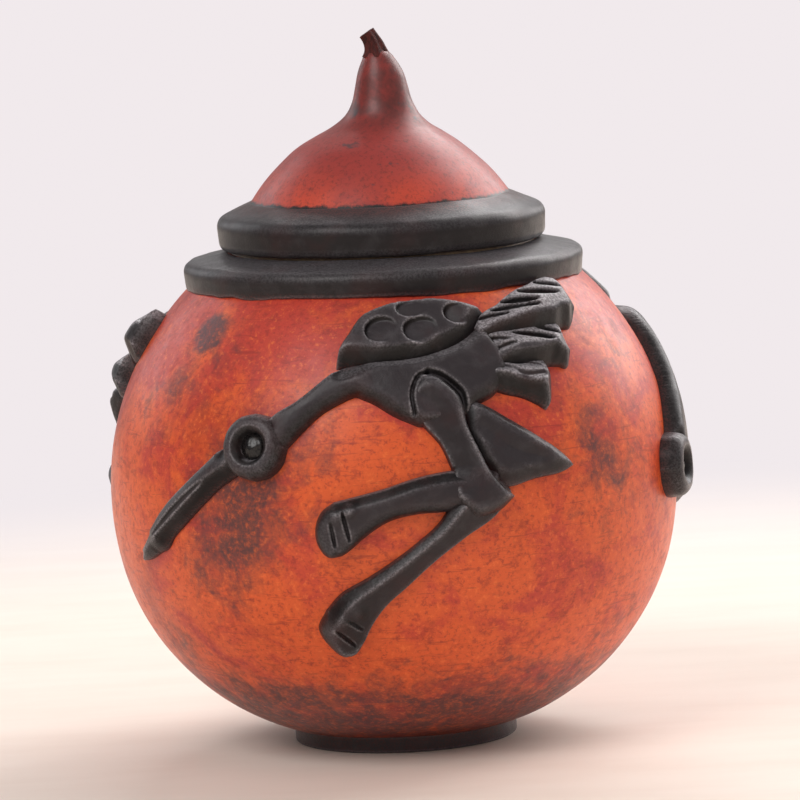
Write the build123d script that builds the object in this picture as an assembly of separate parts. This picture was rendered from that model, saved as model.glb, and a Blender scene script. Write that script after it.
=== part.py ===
from build123d import *
import math
import os

# A carved gourd box. The hollow gourd stands on a low foot ring and is closed by a lid cut from
# its own top, which keeps the gourd's narrow neck and a stub of stem. Black bands border the
# mouth and the lid, and three long-beaked wading birds stand in black relief round the side.
# Origin: centre of the foot's resting plane. +Z is up, and the front bird faces -Y. Millimetres.

# Gourd shell
GOURD_R = 85.0               # round upper part, and the widest circle
LOWER_INSET = 13.0           # the lower curve is tighter than the upper one by this much
LOWER_START = 15.0           # degrees below the widest circle at which the lower curve starts
BOTTOM_LIFT = 1.6            # the gourd's own bottom stays this far off the table
SHELL_WALL = 6.0

# Mouth, a slanting knife cut that lets the lid centre itself
MOUTH_R = 46.0               # outer edge of the cut
SEAT_SLOPE = 31.0            # degrees that the cut slants down towards the middle
SEAT_CLEARANCE = 0.3         # lid to seat, square to the cut

# Black band round the mouth
MOUTH_RING_DROP = 9.2        # from the mouth's edge down to the band's lower edge
MOUTH_RING_PROUD = 2.2       # how far its lower edge stands out from the gourd
MOUTH_RING_WALL = 6.6        # height of its upright outside
MOUTH_RING_LIP = 0.5         # its top stands this far over the mouth's edge
MOUTH_RING_SETBACK = 0.5     # and starts this far outside that edge
MOUTH_RING_ROUND = 1.8

# Foot ring
FOOT_R = 33.4
FOOT_WALL = 9.4
FOOT_ROUND = 1.0

# Lid: a dome that sweeps up into the gourd's neck
DOME_SETBACK = 0.6           # the dome's foot lies this far inside the mouth's edge
DOME_RISE = 33.2             # mouth to where the dome turns into the flare
DOME_TURN_R = 18.9           # radius there
DOME_BULGE_R = 29.0          # a point half way up the dome
DOME_BULGE_RISE = 25.7
NECK_ROOT_R = 8.9            # narrowest part of the flare
NECK_ROOT_RISE = 42.8
NECK_TOP_R = 6.6
NECK_TOP_RISE = 51.8
NECK_END_R = 3.3             # flat end that carries the stem
NECK_END_RISE = 58.2
LID_WALL = 5.6               # at the rim
LID_HOLLOW_RISE = 26.0       # mouth to the top of the lid's hollow

# Black band round the lid
LID_RING_LIFT = 0.9          # gap line over the mouth's edge
LID_RING_PROUD = 3.2         # how far it stands out past the mouth's edge
LID_RING_WALL = 9.2          # height of its upright outside
LID_RING_SLOPE = 25.0        # degrees that its top rises towards the dome
LID_RING_ROUND = 1.8

# Stem stub, bent to one side
STEM_R = 2.9
STEM_WAIST_R = 2.5
STEM_LENGTH = 6.6
STEM_BEND = 27.0             # degrees of lean at the cut end
STEM_SIDES = 5

# Relief: how far each piece of a bird stands proud of the gourd
TORSO_RELIEF = 5.0
WING_RELIEF = 6.5
NECK_RELIEF = 5.5
HEAD_RELIEF = 6.5
BEAK_RELIEF = 5.0
TAIL_RELIEF = 6.5
NEAR_LEG_RELIEF = 6.0
FAR_LEG_RELIEF = 4.5
GROOVE = 0.5                 # cut line that sets a piece off from the one it lies over
SOCKET_FLOOR = 2.0           # thickness left under the eye's socket
SCOOP_DEPTH = 1.4            # of the round hollows in a wing
GOUGE_DEPTH = 1.5            # of the cuts in feathers, beak and toes

# Where a bird stands, in degrees: round the gourd from the front towards +X, and how far its own
# middle lies below the lower edge of the mouth's band
FRONT_BIRD = 0.0
RIGHT_BIRD = 125.0
LEFT_BIRD = 224.0
LEFT_BIRD_LOWER = 7.0         # degrees that the left bird stands below the others
BIRD_DROP = 47.1

# The drawing of a bird. All of it is in degrees, so that it grows with the gourd. A place is
# given round and up from the bird's own middle. An outline, a scoop or a gouge lies on the plane
# that touches the gourd at its piece's place, round and up from there.
HEAD_R = 6.5
SOCKET_R = 3.9
EYE_R = 2.15
SCOOP_R = 2.6
GOUGE_WIDTH = 1.2
SLIT_WIDTH = 0.7             # between two toes

# Rounding of a piece: the share of each run that a corner's arc takes up, and the radius of
# the upper edge in degrees
SOFT_CORNER = 0.42
CRISP_CORNER = 0.36
SOFT_EDGE = 1.1
CRISP_EDGE = 0.47
HEAD_EDGE = 1.35

TORSO_PLACE = (10.0, 27.3)
TORSO_OUTLINE = [(-18.2, 5.1), (-3.4, 4.2), (4.4, 6.4), (10.1, 10.8), (12.5, 4.7), (13.1, -0.3),
                 (5.8, -5.4), (4.5, -9.4), (-4.4, -9.6), (-12.0, -3.6), (-17.2, 0.0)]
WING_PLACE = (6.0, 39.5)
WING_FRONT = (-14.9, -7.3)
WING_BACK = (-1.7, 3.9)
WING_TIP = (15.2, 1.9)
WING_BELLY = (3.0, -7.3)
WING_SCOOPS = [(-6.3, -2.8), (1.6, -3.2), (-1.2, 1.7), (8.4, 0.0)]
TAIL_TOP_PLACE = (36.0, 42.1)
TAIL_TOP_OUTLINE = [(-11.8, -3.0), (-3.9, 0.1), (10.0, 4.7), (12.4, -1.6), (10.0, -7.1), (6.2, -8.0),
                    (5.8, -4.7), (-5.2, -6.7), (-13.5, -7.1)]
TAIL_TOP_GOUGES = [((-6.4, -2.8), (-0.4, -3.6)), ((-2.6, -1.2), (3.6, -2.2)), ((2.2, 0.6), (7.4, -0.8)),
                   ((6.4, 2.4), (10.4, 0.8)), ((-8.0, -5.4), (4.6, -4.2))]
TAIL_MIDDLE_PLACE = (35.0, 33.6)
TAIL_MIDDLE_OUTLINE = [(-11.5, 3.0), (7.0, 3.4), (5.5, -7.3), (0.9, -6.5), (0.4, -5.0), (-11.6, -3.5)]
TAIL_MIDDLE_GOUGES = [((-4.0, 0.6), (1.6, -1.0)), ((1.4, 1.8), (5.2, 0.2)), ((-7.6, -1.8), (3.6, -3.2))]
TAIL_BOTTOM_PLACE = (31.0, 26.6)
TAIL_BOTTOM_OUTLINE = [(-8.8, 4.0), (4.6, 2.7), (2.2, -8.0), (-7.3, -2.9), (-10.8, -1.0)]
TAIL_BOTTOM_GOUGES = [((-5.6, 1.4), (1.6, -2.2))]
NEAR_THIGH_PLACE = (14.0, 15.7)
NEAR_THIGH_OUTLINE = [(-8.4, 11.5), (-3.4, 13.1), (0.5, 8.8), (0.6, 2.2), (8.9, -12.5),
                      (3.4, -16.9), (-4.0, -14.2), (-3.4, -5.4), (-8.4, 3.4)]
NEAR_SHANK_PLACE = (3.0, -8.1)
NEAR_SHANK_OUTLINE = [(19.9, 11.5), (-1.3, -5.2), (-7.4, -11.3), (-12.1, -19.9), (-18.6, -14.2),
                      (-17.2, -9.1), (-9.4, -3.0), (5.5, 7.5), (13.5, 14.8)]
NEAR_TOE_SLITS = [((-12.9, -11.4), (-9.4, -14.6)), ((-15.4, -13.5), (-11.2, -17.8))]
FAR_THIGH_PLACE = (27.0, 13.6)
FAR_THIGH_OUTLINE = [(-11.5, 9.8), (-6.1, 7.0), (10.1, -5.9), (-6.1, -8.8)]
FAR_SHANK_PLACE = (-2.0, 2.0)
FAR_SHANK_OUTLINE = [(14.0, 7.4), (-9.9, 1.8), (-13.5, -1.7), (-12.5, -8.4), (-7.1, -6.9),
                     (1.1, -1.4), (14.0, -0.4)]
FAR_TOE_SLITS = [((-8.2, -0.2), (-6.8, -5.8)), ((-10.5, -2.2), (-9.6, -7.2))]

# The front and left birds stretch the neck and beak forward.
NECK_PLACE = (-14.5, 24.3)
NECK_OUTLINE = [(-10.1, -6.4), (-3.7, -2.0), (5.4, 6.1), (8.6, 1.9), (-6.6, -10.7)]
HEAD_PLACE = (-28.2, 14.6)
BEAK_PLACE = (-44.0, 3.4)
BEAK_OUTLINE = [(11.5, 12.1), (-9.0, -7.6), (-13.8, -12.1), (-4.7, -9.2), (6.1, 0.9), (14.2, 6.4)]
BEAK_GOUGES = [((6.2, 4.6), (-8.8, -8.8))]

# The right bird bends its neck down and tucks its beak back towards its feet.
BENT_NECK_PLACE = (-37.5, 21.4)
BENT_NECK_OUTLINE = [(-14.2, -11.5), (-6.1, -2.7), (1.0, 8.8), (9.4, 13.8), (26.0, 12.5), (24.0, 5.7),
                     (10.4, 7.0), (4.7, 3.0), (-0.7, -6.4), (-8.1, -16.9)]
BENT_HEAD_PLACE = (-50.5, 2.7)
BENT_BEAK_PLACE = (-36.0, -3.4)
BENT_BEAK_OUTLINE = [(-11.5, 7.4), (10.2, -1.8), (12.4, -5.4), (-12.1, 0.0)]
BENT_BEAK_GOUGES = [((-6.0, 2.2), (8.0, -2.9))]

# Heights and radii that follow from the sizes above
LOWER_R = GOURD_R - LOWER_INSET
LOWER_CENTRE_R = LOWER_INSET * math.cos(math.radians(LOWER_START))
LOWER_CENTRE_Z = BOTTOM_LIFT + LOWER_R
MIDDLE_Z = LOWER_CENTRE_Z + LOWER_INSET * math.sin(math.radians(LOWER_START))
MOUTH_Z = MIDDLE_Z + math.sqrt(GOURD_R**2 - MOUTH_R**2)
MIDDLE = Vector(0, 0, MIDDLE_Z)
BAND_UP = math.degrees(math.asin((MOUTH_Z - MOUTH_RING_DROP - MIDDLE_Z) / GOURD_R))
BIRD_UP = BAND_UP - BIRD_DROP
PRISM_REACH = 0.3 * GOURD_R


def gourd(offset):
    """The whole gourd, solid and without its mouth, grown by an offset."""
    upper = CenterArc((0, MIDDLE_Z), GOURD_R + offset, -LOWER_START, 90 + LOWER_START)
    lower = CenterArc((LOWER_CENTRE_R, LOWER_CENTRE_Z), LOWER_R + offset, -90, 90 - LOWER_START)
    floor = Line((0, (lower @ 0).Y), lower @ 0)
    axis = Line(upper @ 1, floor @ 0)
    return revolve(Plane.XZ * make_face([floor, lower, upper, axis]), Axis.Z)


def turned(*points, rounding=0.0):
    """A ring or dome turned round the upright axis from a section with rounded corners."""
    section = make_face(FilletPolyline(*points, radius=rounding, close=True))
    return revolve(Plane.XZ * section, Axis.Z)


def above_seat(lift):
    """Everything over the slanting cut of the mouth, raised square to the cut by a lift."""
    slope = math.tan(math.radians(SEAT_SLOPE))
    raised = MOUTH_Z + lift / math.cos(math.radians(SEAT_SLOPE))
    reach = 2 * GOURD_R
    middle = (0, raised - MOUTH_R * slope)
    edge = (reach, raised + (reach - MOUTH_R) * slope)
    top = 2 * reach + MOUTH_Z
    section = make_face(Polyline(middle, edge, (reach, top), (0, top), close=True))
    return revolve(Plane.XZ * section, Axis.Z)


def lid_outside():
    """The dome, flare and neck as one turned solid, running on below the seat."""
    foot = (MOUTH_R - DOME_SETBACK, MOUTH_Z)
    turn = (DOME_TURN_R, MOUTH_Z + DOME_RISE)
    root = (NECK_ROOT_R, MOUTH_Z + NECK_ROOT_RISE)
    top = (NECK_TOP_R, MOUTH_Z + NECK_TOP_RISE)
    end = (NECK_END_R, MOUTH_Z + NECK_END_RISE)
    dome = ThreePointArc(foot, (DOME_BULGE_R, MOUTH_Z + DOME_BULGE_RISE), turn)
    flare = TangentArc(turn, root, tangent=dome % 1)
    neck = Line(root, top)
    shoulder = TangentArc(top, end, tangent=neck % 1)
    below = MOUTH_Z - MOUTH_R * math.tan(math.radians(SEAT_SLOPE))
    close = Polyline(end, (0, end[1]), (0, below), (foot[0], below), foot)
    return revolve(Plane.XZ * make_face([dome, flare, neck, shoulder, close]), Axis.Z)


def lid_hollow():
    """The round hollow under the dome."""
    rim_r = MOUTH_R - DOME_SETBACK - LID_WALL
    rim_drop = LID_WALL * math.tan(math.radians(SEAT_SLOPE))
    rise = LID_HOLLOW_RISE + rim_drop
    radius = (rim_r**2 + rise**2) / (2 * rise)
    return Pos(0, 0, MOUTH_Z + LID_HOLLOW_RISE - radius) * Sphere(radius)


def lid_ring():
    """The black band round the lid's foot, fitted to the dome."""
    outer = MOUTH_R + LID_RING_PROUD
    inner = DOME_BULGE_R
    bottom = MOUTH_Z + LID_RING_LIFT
    shoulder = bottom + LID_RING_WALL
    top = shoulder + (outer - inner) * math.tan(math.radians(LID_RING_SLOPE))
    band = turned((inner, bottom), (outer, bottom), (outer, shoulder), (inner, top),
                  rounding=[0, LID_RING_ROUND / 2, LID_RING_ROUND, 0])
    return band - lid_outside()


def mouth_ring():
    """The black band round the mouth, fitted to the gourd."""
    bottom = MOUTH_Z - MOUTH_RING_DROP
    outer = math.sqrt(GOURD_R**2 - (bottom - MIDDLE_Z)**2) + MOUTH_RING_PROUD
    inner = MOUTH_R + MOUTH_RING_SETBACK
    band = turned((inner, bottom - MOUTH_RING_PROUD), (outer, bottom), (outer, bottom + MOUTH_RING_WALL),
                  (inner, MOUTH_Z + MOUTH_RING_LIP), rounding=[0, MOUTH_RING_ROUND / 2, MOUTH_RING_ROUND, 0])
    return band - gourd(0)


def foot_ring():
    """The ring under the gourd, hollowed to its round bottom."""
    fall = math.sqrt(LOWER_R**2 - (FOOT_R - LOWER_CENTRE_R)**2)
    top = LOWER_CENTRE_Z - fall
    inner = FOOT_R - FOOT_WALL
    ring = turned((inner, 0), (FOOT_R, 0), (FOOT_R, top), (inner, top), rounding=[0, FOOT_ROUND, 0, 0])
    return ring - gourd(0)


def stem():
    """The stub of stem: a ribbed stalk, waisted and leaning, with a slanted cut end."""
    base_z = MOUTH_Z + NECK_END_RISE
    bend = math.radians(STEM_BEND)
    lean = STEM_LENGTH * math.sin(bend / 2)
    rise = STEM_LENGTH * math.cos(bend / 2)
    foot = Plane((0, 0, base_z))
    waist = Plane((-lean / 3, 0, base_z + rise / 2)).rotated((0, -STEM_BEND / 2, 0))
    cut = Plane((-lean, 0, base_z + rise)).rotated((0, -STEM_BEND, 0))
    radii = [STEM_R, STEM_WAIST_R, STEM_R]
    planes = [foot, waist, cut]
    return loft([plane * RegularPolygon(radius, STEM_SIDES) for plane, radius in zip(planes, radii)])


def touching_plane(place):
    """The plane that touches the gourd at a place on a bird: X round the gourd, Y up it."""
    around = math.radians(place[0])
    up = math.radians(place[1] + BIRD_UP)
    normal = Vector(math.sin(around) * math.cos(up), -math.cos(around) * math.cos(up), math.sin(up))
    along = (math.cos(around), math.sin(around), 0)
    return Plane(MIDDLE + normal * GOURD_R, x_dir=along, z_dir=normal)


def span(degrees):
    """Degrees of the drawing as millimetres on the gourd."""
    return math.radians(degrees) * GOURD_R


def flat(point):
    """A point of the drawing in millimetres on the touching plane."""
    return Vector(span(point[0]), span(point[1]))


def outline(points, share):
    """A flat outline whose corner arcs each take up a share of the shorter run beside them."""
    corners = [flat(point) for point in points]
    radii = []
    for i, corner in enumerate(corners):
        before = corner - corners[i - 1]
        after = corners[(i + 1) % len(corners)] - corner
        half_turn = math.radians(before.get_angle(after)) / 2
        radii.append(share * min(before.length, after.length) / math.tan(half_turn))
    return make_face(FilletPolyline(*corners, radius=radii, close=True))


def ball(offset):
    """The round upper part of the gourd, carried on all round and grown by an offset."""
    return Pos(MIDDLE) * Sphere(GOURD_R + offset)


def relief(face, place, height):
    """An outline raised off the gourd: upright sides, round top, underside fitted to the gourd."""
    prism = extrude(touching_plane(place) * face, PRISM_REACH, both=True)
    return (prism & ball(height)) - gourd(0)


def rounded(piece, height, radius):
    """The upper edge of a raised piece, rounded."""
    tops = piece.faces().filter_by(GeomType.SPHERE)
    top = max(tops, key=lambda face: (face.position_at(0.5, 0.5) - MIDDLE).length)
    return fillet(top.edges(), min(span(radius), height / 2))


def main_solid(shape):
    """The piece itself, without slivers that a cut leaves behind."""
    solids = shape.solids()
    if len(solids) == 1:
        return solids[0].fix()
    return solids.sort_by(SortBy.VOLUME)[-1].fix()


def wing_face():
    """A leaf with a round back and a round belly."""
    back = ThreePointArc(flat(WING_FRONT), flat(WING_BACK), flat(WING_TIP))
    belly = ThreePointArc(flat(WING_TIP), flat(WING_BELLY), flat(WING_FRONT))
    return fillet(make_face([back, belly]).vertices(), span(2 * CRISP_EDGE))


def gouged(piece, strokes, place, height, width):
    """A raised piece with a leaf-shaped cut for each stroke of the gouge."""
    for start, end in strokes:
        middle = (flat(start) + flat(end)) / 2
        bow = (flat(end) - flat(start)).normalized().rotate(Axis.Z, 90) * span(width) / 2
        leaf = make_face([ThreePointArc(flat(start), middle + bow, flat(end)),
                          ThreePointArc(flat(end), middle - bow, flat(start))])
        prism = extrude(touching_plane(place) * leaf, PRISM_REACH, both=True)
        piece = piece - (prism - ball(height - GOUGE_DEPTH))
    return piece


def scooped(piece, places, place, height):
    """A raised piece with round, shallow hollows."""
    rim = span(SCOOP_R)
    radius = (rim**2 + SCOOP_DEPTH**2) / (2 * SCOOP_DEPTH)
    for point in places:
        spot = touching_plane(place).from_local_coords(flat(point))
        outward = (spot - MIDDLE).normalized()
        piece = piece - Pos(MIDDLE + outward * (GOURD_R + height - SCOOP_DEPTH + radius)) * Sphere(radius)
    return piece


def crisp(points, place, height):
    """A piece with sharp corners, such as a feather or a beak."""
    return relief(outline(points, CRISP_CORNER), place, height)


def soft(points, place, height):
    """A piece with full, round corners, such as the body or a leg."""
    return relief(outline(points, SOFT_CORNER), place, height)


def feather(blank, strokes, place):
    """A tail feather: its upper edge rounded, its barbs cut."""
    return gouged(rounded(blank, TAIL_RELIEF, CRISP_EDGE), strokes, place, TAIL_RELIEF, GOUGE_WIDTH)


def lowered(place, lower):
    """A place on the gourd moved down by an angle."""
    return place[0], place[1] - lower


def body_pieces(lower):
    """What the three birds share, at the front of the gourd, with the room that the head needs."""
    torso_place = lowered(TORSO_PLACE, lower)
    wing_place = lowered(WING_PLACE, lower)
    tail_top_place = lowered(TAIL_TOP_PLACE, lower)
    tail_middle_place = lowered(TAIL_MIDDLE_PLACE, lower)
    tail_bottom_place = lowered(TAIL_BOTTOM_PLACE, lower)
    near_thigh_place = lowered(NEAR_THIGH_PLACE, lower)
    near_shank_place = lowered(NEAR_SHANK_PLACE, lower)
    far_thigh_place = lowered(FAR_THIGH_PLACE, lower)
    far_shank_place = lowered(FAR_SHANK_PLACE, lower)
    torso = soft(TORSO_OUTLINE, torso_place, TORSO_RELIEF)
    wing = relief(wing_face(), wing_place, WING_RELIEF)
    wing_room = relief(offset(wing_face(), GROOVE), wing_place, WING_RELIEF)
    top = crisp(TAIL_TOP_OUTLINE, tail_top_place, TAIL_RELIEF)
    middle = crisp(TAIL_MIDDLE_OUTLINE, tail_middle_place, TAIL_RELIEF)
    bottom = crisp(TAIL_BOTTOM_OUTLINE, tail_bottom_place, TAIL_RELIEF)
    top_cut = feather(top, TAIL_TOP_GOUGES, tail_top_place)
    middle_cut = feather(middle, TAIL_MIDDLE_GOUGES, tail_middle_place)
    bottom_cut = feather(bottom, TAIL_BOTTOM_GOUGES, tail_bottom_place)
    thigh = outline(NEAR_THIGH_OUTLINE, SOFT_CORNER)
    shank = outline(NEAR_SHANK_OUTLINE, SOFT_CORNER)
    thigh_room = relief(offset(thigh, GROOVE), near_thigh_place, NEAR_LEG_RELIEF)
    shank_room = relief(offset(shank, GROOVE), near_shank_place, NEAR_LEG_RELIEF)
    near_thigh = rounded(relief(thigh, near_thigh_place, NEAR_LEG_RELIEF), NEAR_LEG_RELIEF, SOFT_EDGE)
    near_shank = rounded(relief(shank, near_shank_place, NEAR_LEG_RELIEF), NEAR_LEG_RELIEF, SOFT_EDGE)
    far_thigh = rounded(soft(FAR_THIGH_OUTLINE, far_thigh_place, FAR_LEG_RELIEF), FAR_LEG_RELIEF, SOFT_EDGE)
    far_shank = rounded(soft(FAR_SHANK_OUTLINE, far_shank_place, FAR_LEG_RELIEF), FAR_LEG_RELIEF, SOFT_EDGE)
    near_shank = gouged(near_shank, NEAR_TOE_SLITS, near_shank_place, NEAR_LEG_RELIEF, SLIT_WIDTH)
    far_shank = gouged(far_shank, FAR_TOE_SLITS, far_shank_place, FAR_LEG_RELIEF, SLIT_WIDTH)
    pieces = {
        "torso": rounded(torso, TORSO_RELIEF, SOFT_EDGE) - wing_room - thigh_room,
        "wing": scooped(rounded(wing, WING_RELIEF, CRISP_EDGE), WING_SCOOPS, wing_place, WING_RELIEF),
        "tail_feather_top": top_cut - torso - wing_room,
        "tail_feather_middle": middle_cut - torso - wing_room - top,
        "tail_feather_bottom": bottom_cut - torso - wing_room - top - middle,
        "near_leg": near_thigh + near_shank,
        "far_thigh": far_thigh - torso - thigh_room - shank_room - middle - bottom,
        "far_shank": far_shank - thigh_room - shank_room,
    }
    return pieces, [torso, wing_room]


def head_pieces(neck_points, neck_place, head_place, beak_points, beak_place, beak_gouges, neighbours):
    """Neck, head, eye and beak, cut to meet each other and what they grow out of."""
    disc = relief(Circle(span(HEAD_R)), head_place, HEAD_RELIEF)
    plane = touching_plane(head_place)
    socket = extrude(plane * Circle(span(SOCKET_R)), PRISM_REACH, both=True) - ball(SOCKET_FLOOR)
    upright = (Align.CENTER, Align.CENTER, Align.MIN)
    eye = plane.offset(SOCKET_FLOOR) * Sphere(span(EYE_R), arc_size1=0, align=upright)
    neck = rounded(soft(neck_points, neck_place, NECK_RELIEF), NECK_RELIEF, SOFT_EDGE)
    beak = rounded(crisp(beak_points, beak_place, BEAK_RELIEF), BEAK_RELIEF, CRISP_EDGE)
    beak = gouged(beak, beak_gouges, beak_place, BEAK_RELIEF, GOUGE_WIDTH)
    for neighbour in neighbours:
        neck = neck - neighbour
    return {
        "neck": neck - disc,
        "head": rounded(disc, HEAD_RELIEF, HEAD_EDGE) - socket,
        "eye": eye,
        "beak": beak - disc,
    }


nodes = {
    "gourd_bowl": gourd(0) - gourd(-SHELL_WALL) - above_seat(0),
    "mouth_ring": mouth_ring(),
    "foot_ring": foot_ring(),
    "lid_dome": (lid_outside() & above_seat(SEAT_CLEARANCE)) - lid_hollow(),
    "lid_ring": lid_ring(),
    "lid_stem": stem(),
}

body, beside_neck = body_pieces(0)
low_body, beside_low_neck = body_pieces(LEFT_BIRD_LOWER)
reaching = head_pieces(NECK_OUTLINE, NECK_PLACE, HEAD_PLACE, BEAK_OUTLINE, BEAK_PLACE, BEAK_GOUGES,
                       beside_neck)
tucked = head_pieces(BENT_NECK_OUTLINE, BENT_NECK_PLACE, BENT_HEAD_PLACE, BENT_BEAK_OUTLINE,
                     BENT_BEAK_PLACE, BENT_BEAK_GOUGES, beside_neck)
low_reaching = head_pieces(NECK_OUTLINE, lowered(NECK_PLACE, LEFT_BIRD_LOWER),
                           lowered(HEAD_PLACE, LEFT_BIRD_LOWER), BEAK_OUTLINE,
                           lowered(BEAK_PLACE, LEFT_BIRD_LOWER), BEAK_GOUGES, beside_low_neck)
birds = {
    "front_bird": (FRONT_BIRD, body | reaching),
    "right_bird": (RIGHT_BIRD, body | tucked),
    "left_bird": (LEFT_BIRD, low_body | low_reaching),
}
for bird_name, (turn, pieces) in birds.items():
    for piece_name, piece in pieces.items():
        nodes[f"{bird_name}_{piece_name}"] = Rot(0, 0, turn) * piece

os.makedirs("parts", exist_ok=True)
for node_name, node in nodes.items():
    export_step(main_solid(node), f"parts/{node_name}.step")
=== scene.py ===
import math

import bmesh
import bpy
import numpy as np
from mathutils import Matrix, Vector, noise
from mathutils.geometry import delaunay_2d_cdt


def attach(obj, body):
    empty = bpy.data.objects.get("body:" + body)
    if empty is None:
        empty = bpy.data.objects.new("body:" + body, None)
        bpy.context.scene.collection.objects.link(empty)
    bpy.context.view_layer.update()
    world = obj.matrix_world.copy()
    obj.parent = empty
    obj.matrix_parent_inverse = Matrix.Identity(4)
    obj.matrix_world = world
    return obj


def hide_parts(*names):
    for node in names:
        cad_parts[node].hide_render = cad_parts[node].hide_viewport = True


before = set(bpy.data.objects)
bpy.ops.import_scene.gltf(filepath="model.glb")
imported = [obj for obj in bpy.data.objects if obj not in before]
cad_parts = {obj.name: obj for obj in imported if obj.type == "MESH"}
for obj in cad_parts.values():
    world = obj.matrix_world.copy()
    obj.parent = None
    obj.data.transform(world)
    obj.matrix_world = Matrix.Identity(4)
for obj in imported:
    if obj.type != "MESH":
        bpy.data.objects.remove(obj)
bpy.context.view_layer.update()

# The gourd bowl. One dried gourd, hollowed, scraped smooth, dyed red and orange, smoked in patches
# and waxed, with painted shade on its left side. Its mouth is a slanting knife cut, so that the lid
# centres itself.
MM = 0.001
GOURD_R = 85 * MM
LOWER_INSET = 13 * MM
LOWER_START = 15
BOTTOM_LIFT = 1.6 * MM
SHELL_WALL = 6 * MM
MOUTH_R = 46 * MM
SEAT_SLOPE = math.tan(math.radians(31))
LOWER_R = GOURD_R - LOWER_INSET
LOWER_CENTRE_R = LOWER_INSET * math.cos(math.radians(LOWER_START))
LOWER_CENTRE_Z = BOTTOM_LIFT + LOWER_R
MIDDLE_Z = LOWER_CENTRE_Z + LOWER_INSET * math.sin(math.radians(LOWER_START))
MOUTH_Z = MIDDLE_Z + math.sqrt(GOURD_R**2 - MOUTH_R**2)
GOURD_SIDES = 300
GOURD_UNEVEN = 0.5 * MM
GOURD_LUMP = 45 * MM
RED_DYE = (0.54, 0.046, 0.024, 1)
ORANGE_DYE = (0.74, 0.108, 0.02, 1)
BRIGHT_ORANGE_DYE = (0.9, 0.2, 0.04, 1)
DEEP_RED_DYE = (0.28, 0.02, 0.012, 1)
SMOKE_AND_SHADE_BROWN = (0.05, 0.029, 0.034, 1)
RAW_GOURD = (0.5, 0.33, 0.17, 1)
RAW_FIBRE = (0.3, 0.17, 0.08, 1)
# Sizes of the dye's patterns
CLOUD_SIZE = 20 * MM
DEEP_CLOUD_SIZE = 40 * MM
GRAIN_SIZE = 1.7 * MM
FLECK_SIZE = 5 * MM
STROKE_LENGTH = 14 * MM
BLOTCH_SIZE = 10 * MM
FIBRE_SIZE = 3 * MM
SKIN_BUMP = 0.05 * MM
# The brightest orange lies on the front: degrees round from the front, degrees up from the widest circle
WARM_FRONT = (-2, 8)
WARM_REACH = 30 * MM
# The skin gets darker towards the foot between these heights
DARKER_FOOT = (44 * MM, 12 * MM)
# Smoky patches, and patches of painted shade on the gourd's left side: degrees round from the front,
# degrees up, reach in millimetres, strength
SMOKE_AND_SHADE_PATCHES = [(-33, 2, 34, 1.0), (-26, 8, 26, 0.8), (-38, -8, 28, 0.8), (-18, 14, 20, 0.62),
                 (-50, 38, 11, 1.7), (-56, 24, 28, 0.55), (-38, 32, 22, 0.42), (8, -42, 22, 0.5),
                 (-16, -38, 16, 0.42), (34, -40, 18, 0.5), (63, 30, 24, 0.42), (58, -30, 20, 0.45),
                 (-52, 20, 16, 0.34), (48, 8, 36, 0.62), (-6, 36, 12, 0.34), (112, -25, 28, 0.6),
                 (150, 12, 30, 0.6), (205, -30, 26, 0.6), (255, 20, 26, 0.6), (300, -32, 24, 0.55),
                 (185, 35, 20, 0.55), (95, 8, 18, 0.5)]


def arc(centre, radius, start, end, count):
    """Points of an arc in a section, radius and height, from one angle in degrees to another."""
    turns = np.radians(np.linspace(start, end, count))
    return [(centre[0] + radius * math.cos(t), centre[1] + radius * math.sin(t)) for t in turns]


def gourd_side(inset, top):
    """The gourd's section from the middle of its bottom up to an angle, moved inwards by an inset."""
    lower = arc((LOWER_CENTRE_R, LOWER_CENTRE_Z), LOWER_R - inset, -90, -LOWER_START, 60)
    upper = arc((0, MIDDLE_Z), GOURD_R - inset, -LOWER_START, top, 70)
    return [(0, lower[0][1])] + lower + upper[1:]


def add(tree, kind, *given, **settings):
    """A new node: its settings by name, its inputs in order, each a socket, a value or None."""
    made = tree.nodes.new(kind)
    for name, value in settings.items():
        setattr(made, name, value)
    for place, value in zip(made.inputs, given):
        if isinstance(value, bpy.types.NodeSocket):
            tree.links.new(value, place)
        elif value is not None:
            place.default_value = value
    return made


def maths(tree, operation, *given):
    """The result of a sum on numbers."""
    return add(tree, "ShaderNodeMath", *given, operation=operation).outputs[0]


def vectors(tree, operation, *given):
    """The result of a sum on vectors."""
    return add(tree, "ShaderNodeVectorMath", *given, operation=operation).outputs[0]


def new_tree(name, sizes):
    """A shape tree with named sizes and a finish going in."""
    tree = bpy.data.node_groups.new(name, "GeometryNodeTree")
    tree.interface.new_socket("Shape", in_out="INPUT", socket_type="NodeSocketGeometry")
    for size in sizes:
        tree.interface.new_socket(size, in_out="INPUT", socket_type="NodeSocketFloat")
    tree.interface.new_socket("Finish", in_out="INPUT", socket_type="NodeSocketMaterial")
    tree.interface.new_socket("Shape", in_out="OUTPUT", socket_type="NodeSocketGeometry")
    return tree, tree.nodes.new("NodeGroupInput").outputs


def close_tree(tree, given, shape):
    """The last nodes of a shape tree."""
    whole = add(tree, "GeometryNodeRealizeInstances", shape)
    painted = add(tree, "GeometryNodeSetMaterial", whole.outputs[0], None, given["Finish"])
    add(tree, "NodeGroupOutput", painted.outputs[0])


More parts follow.
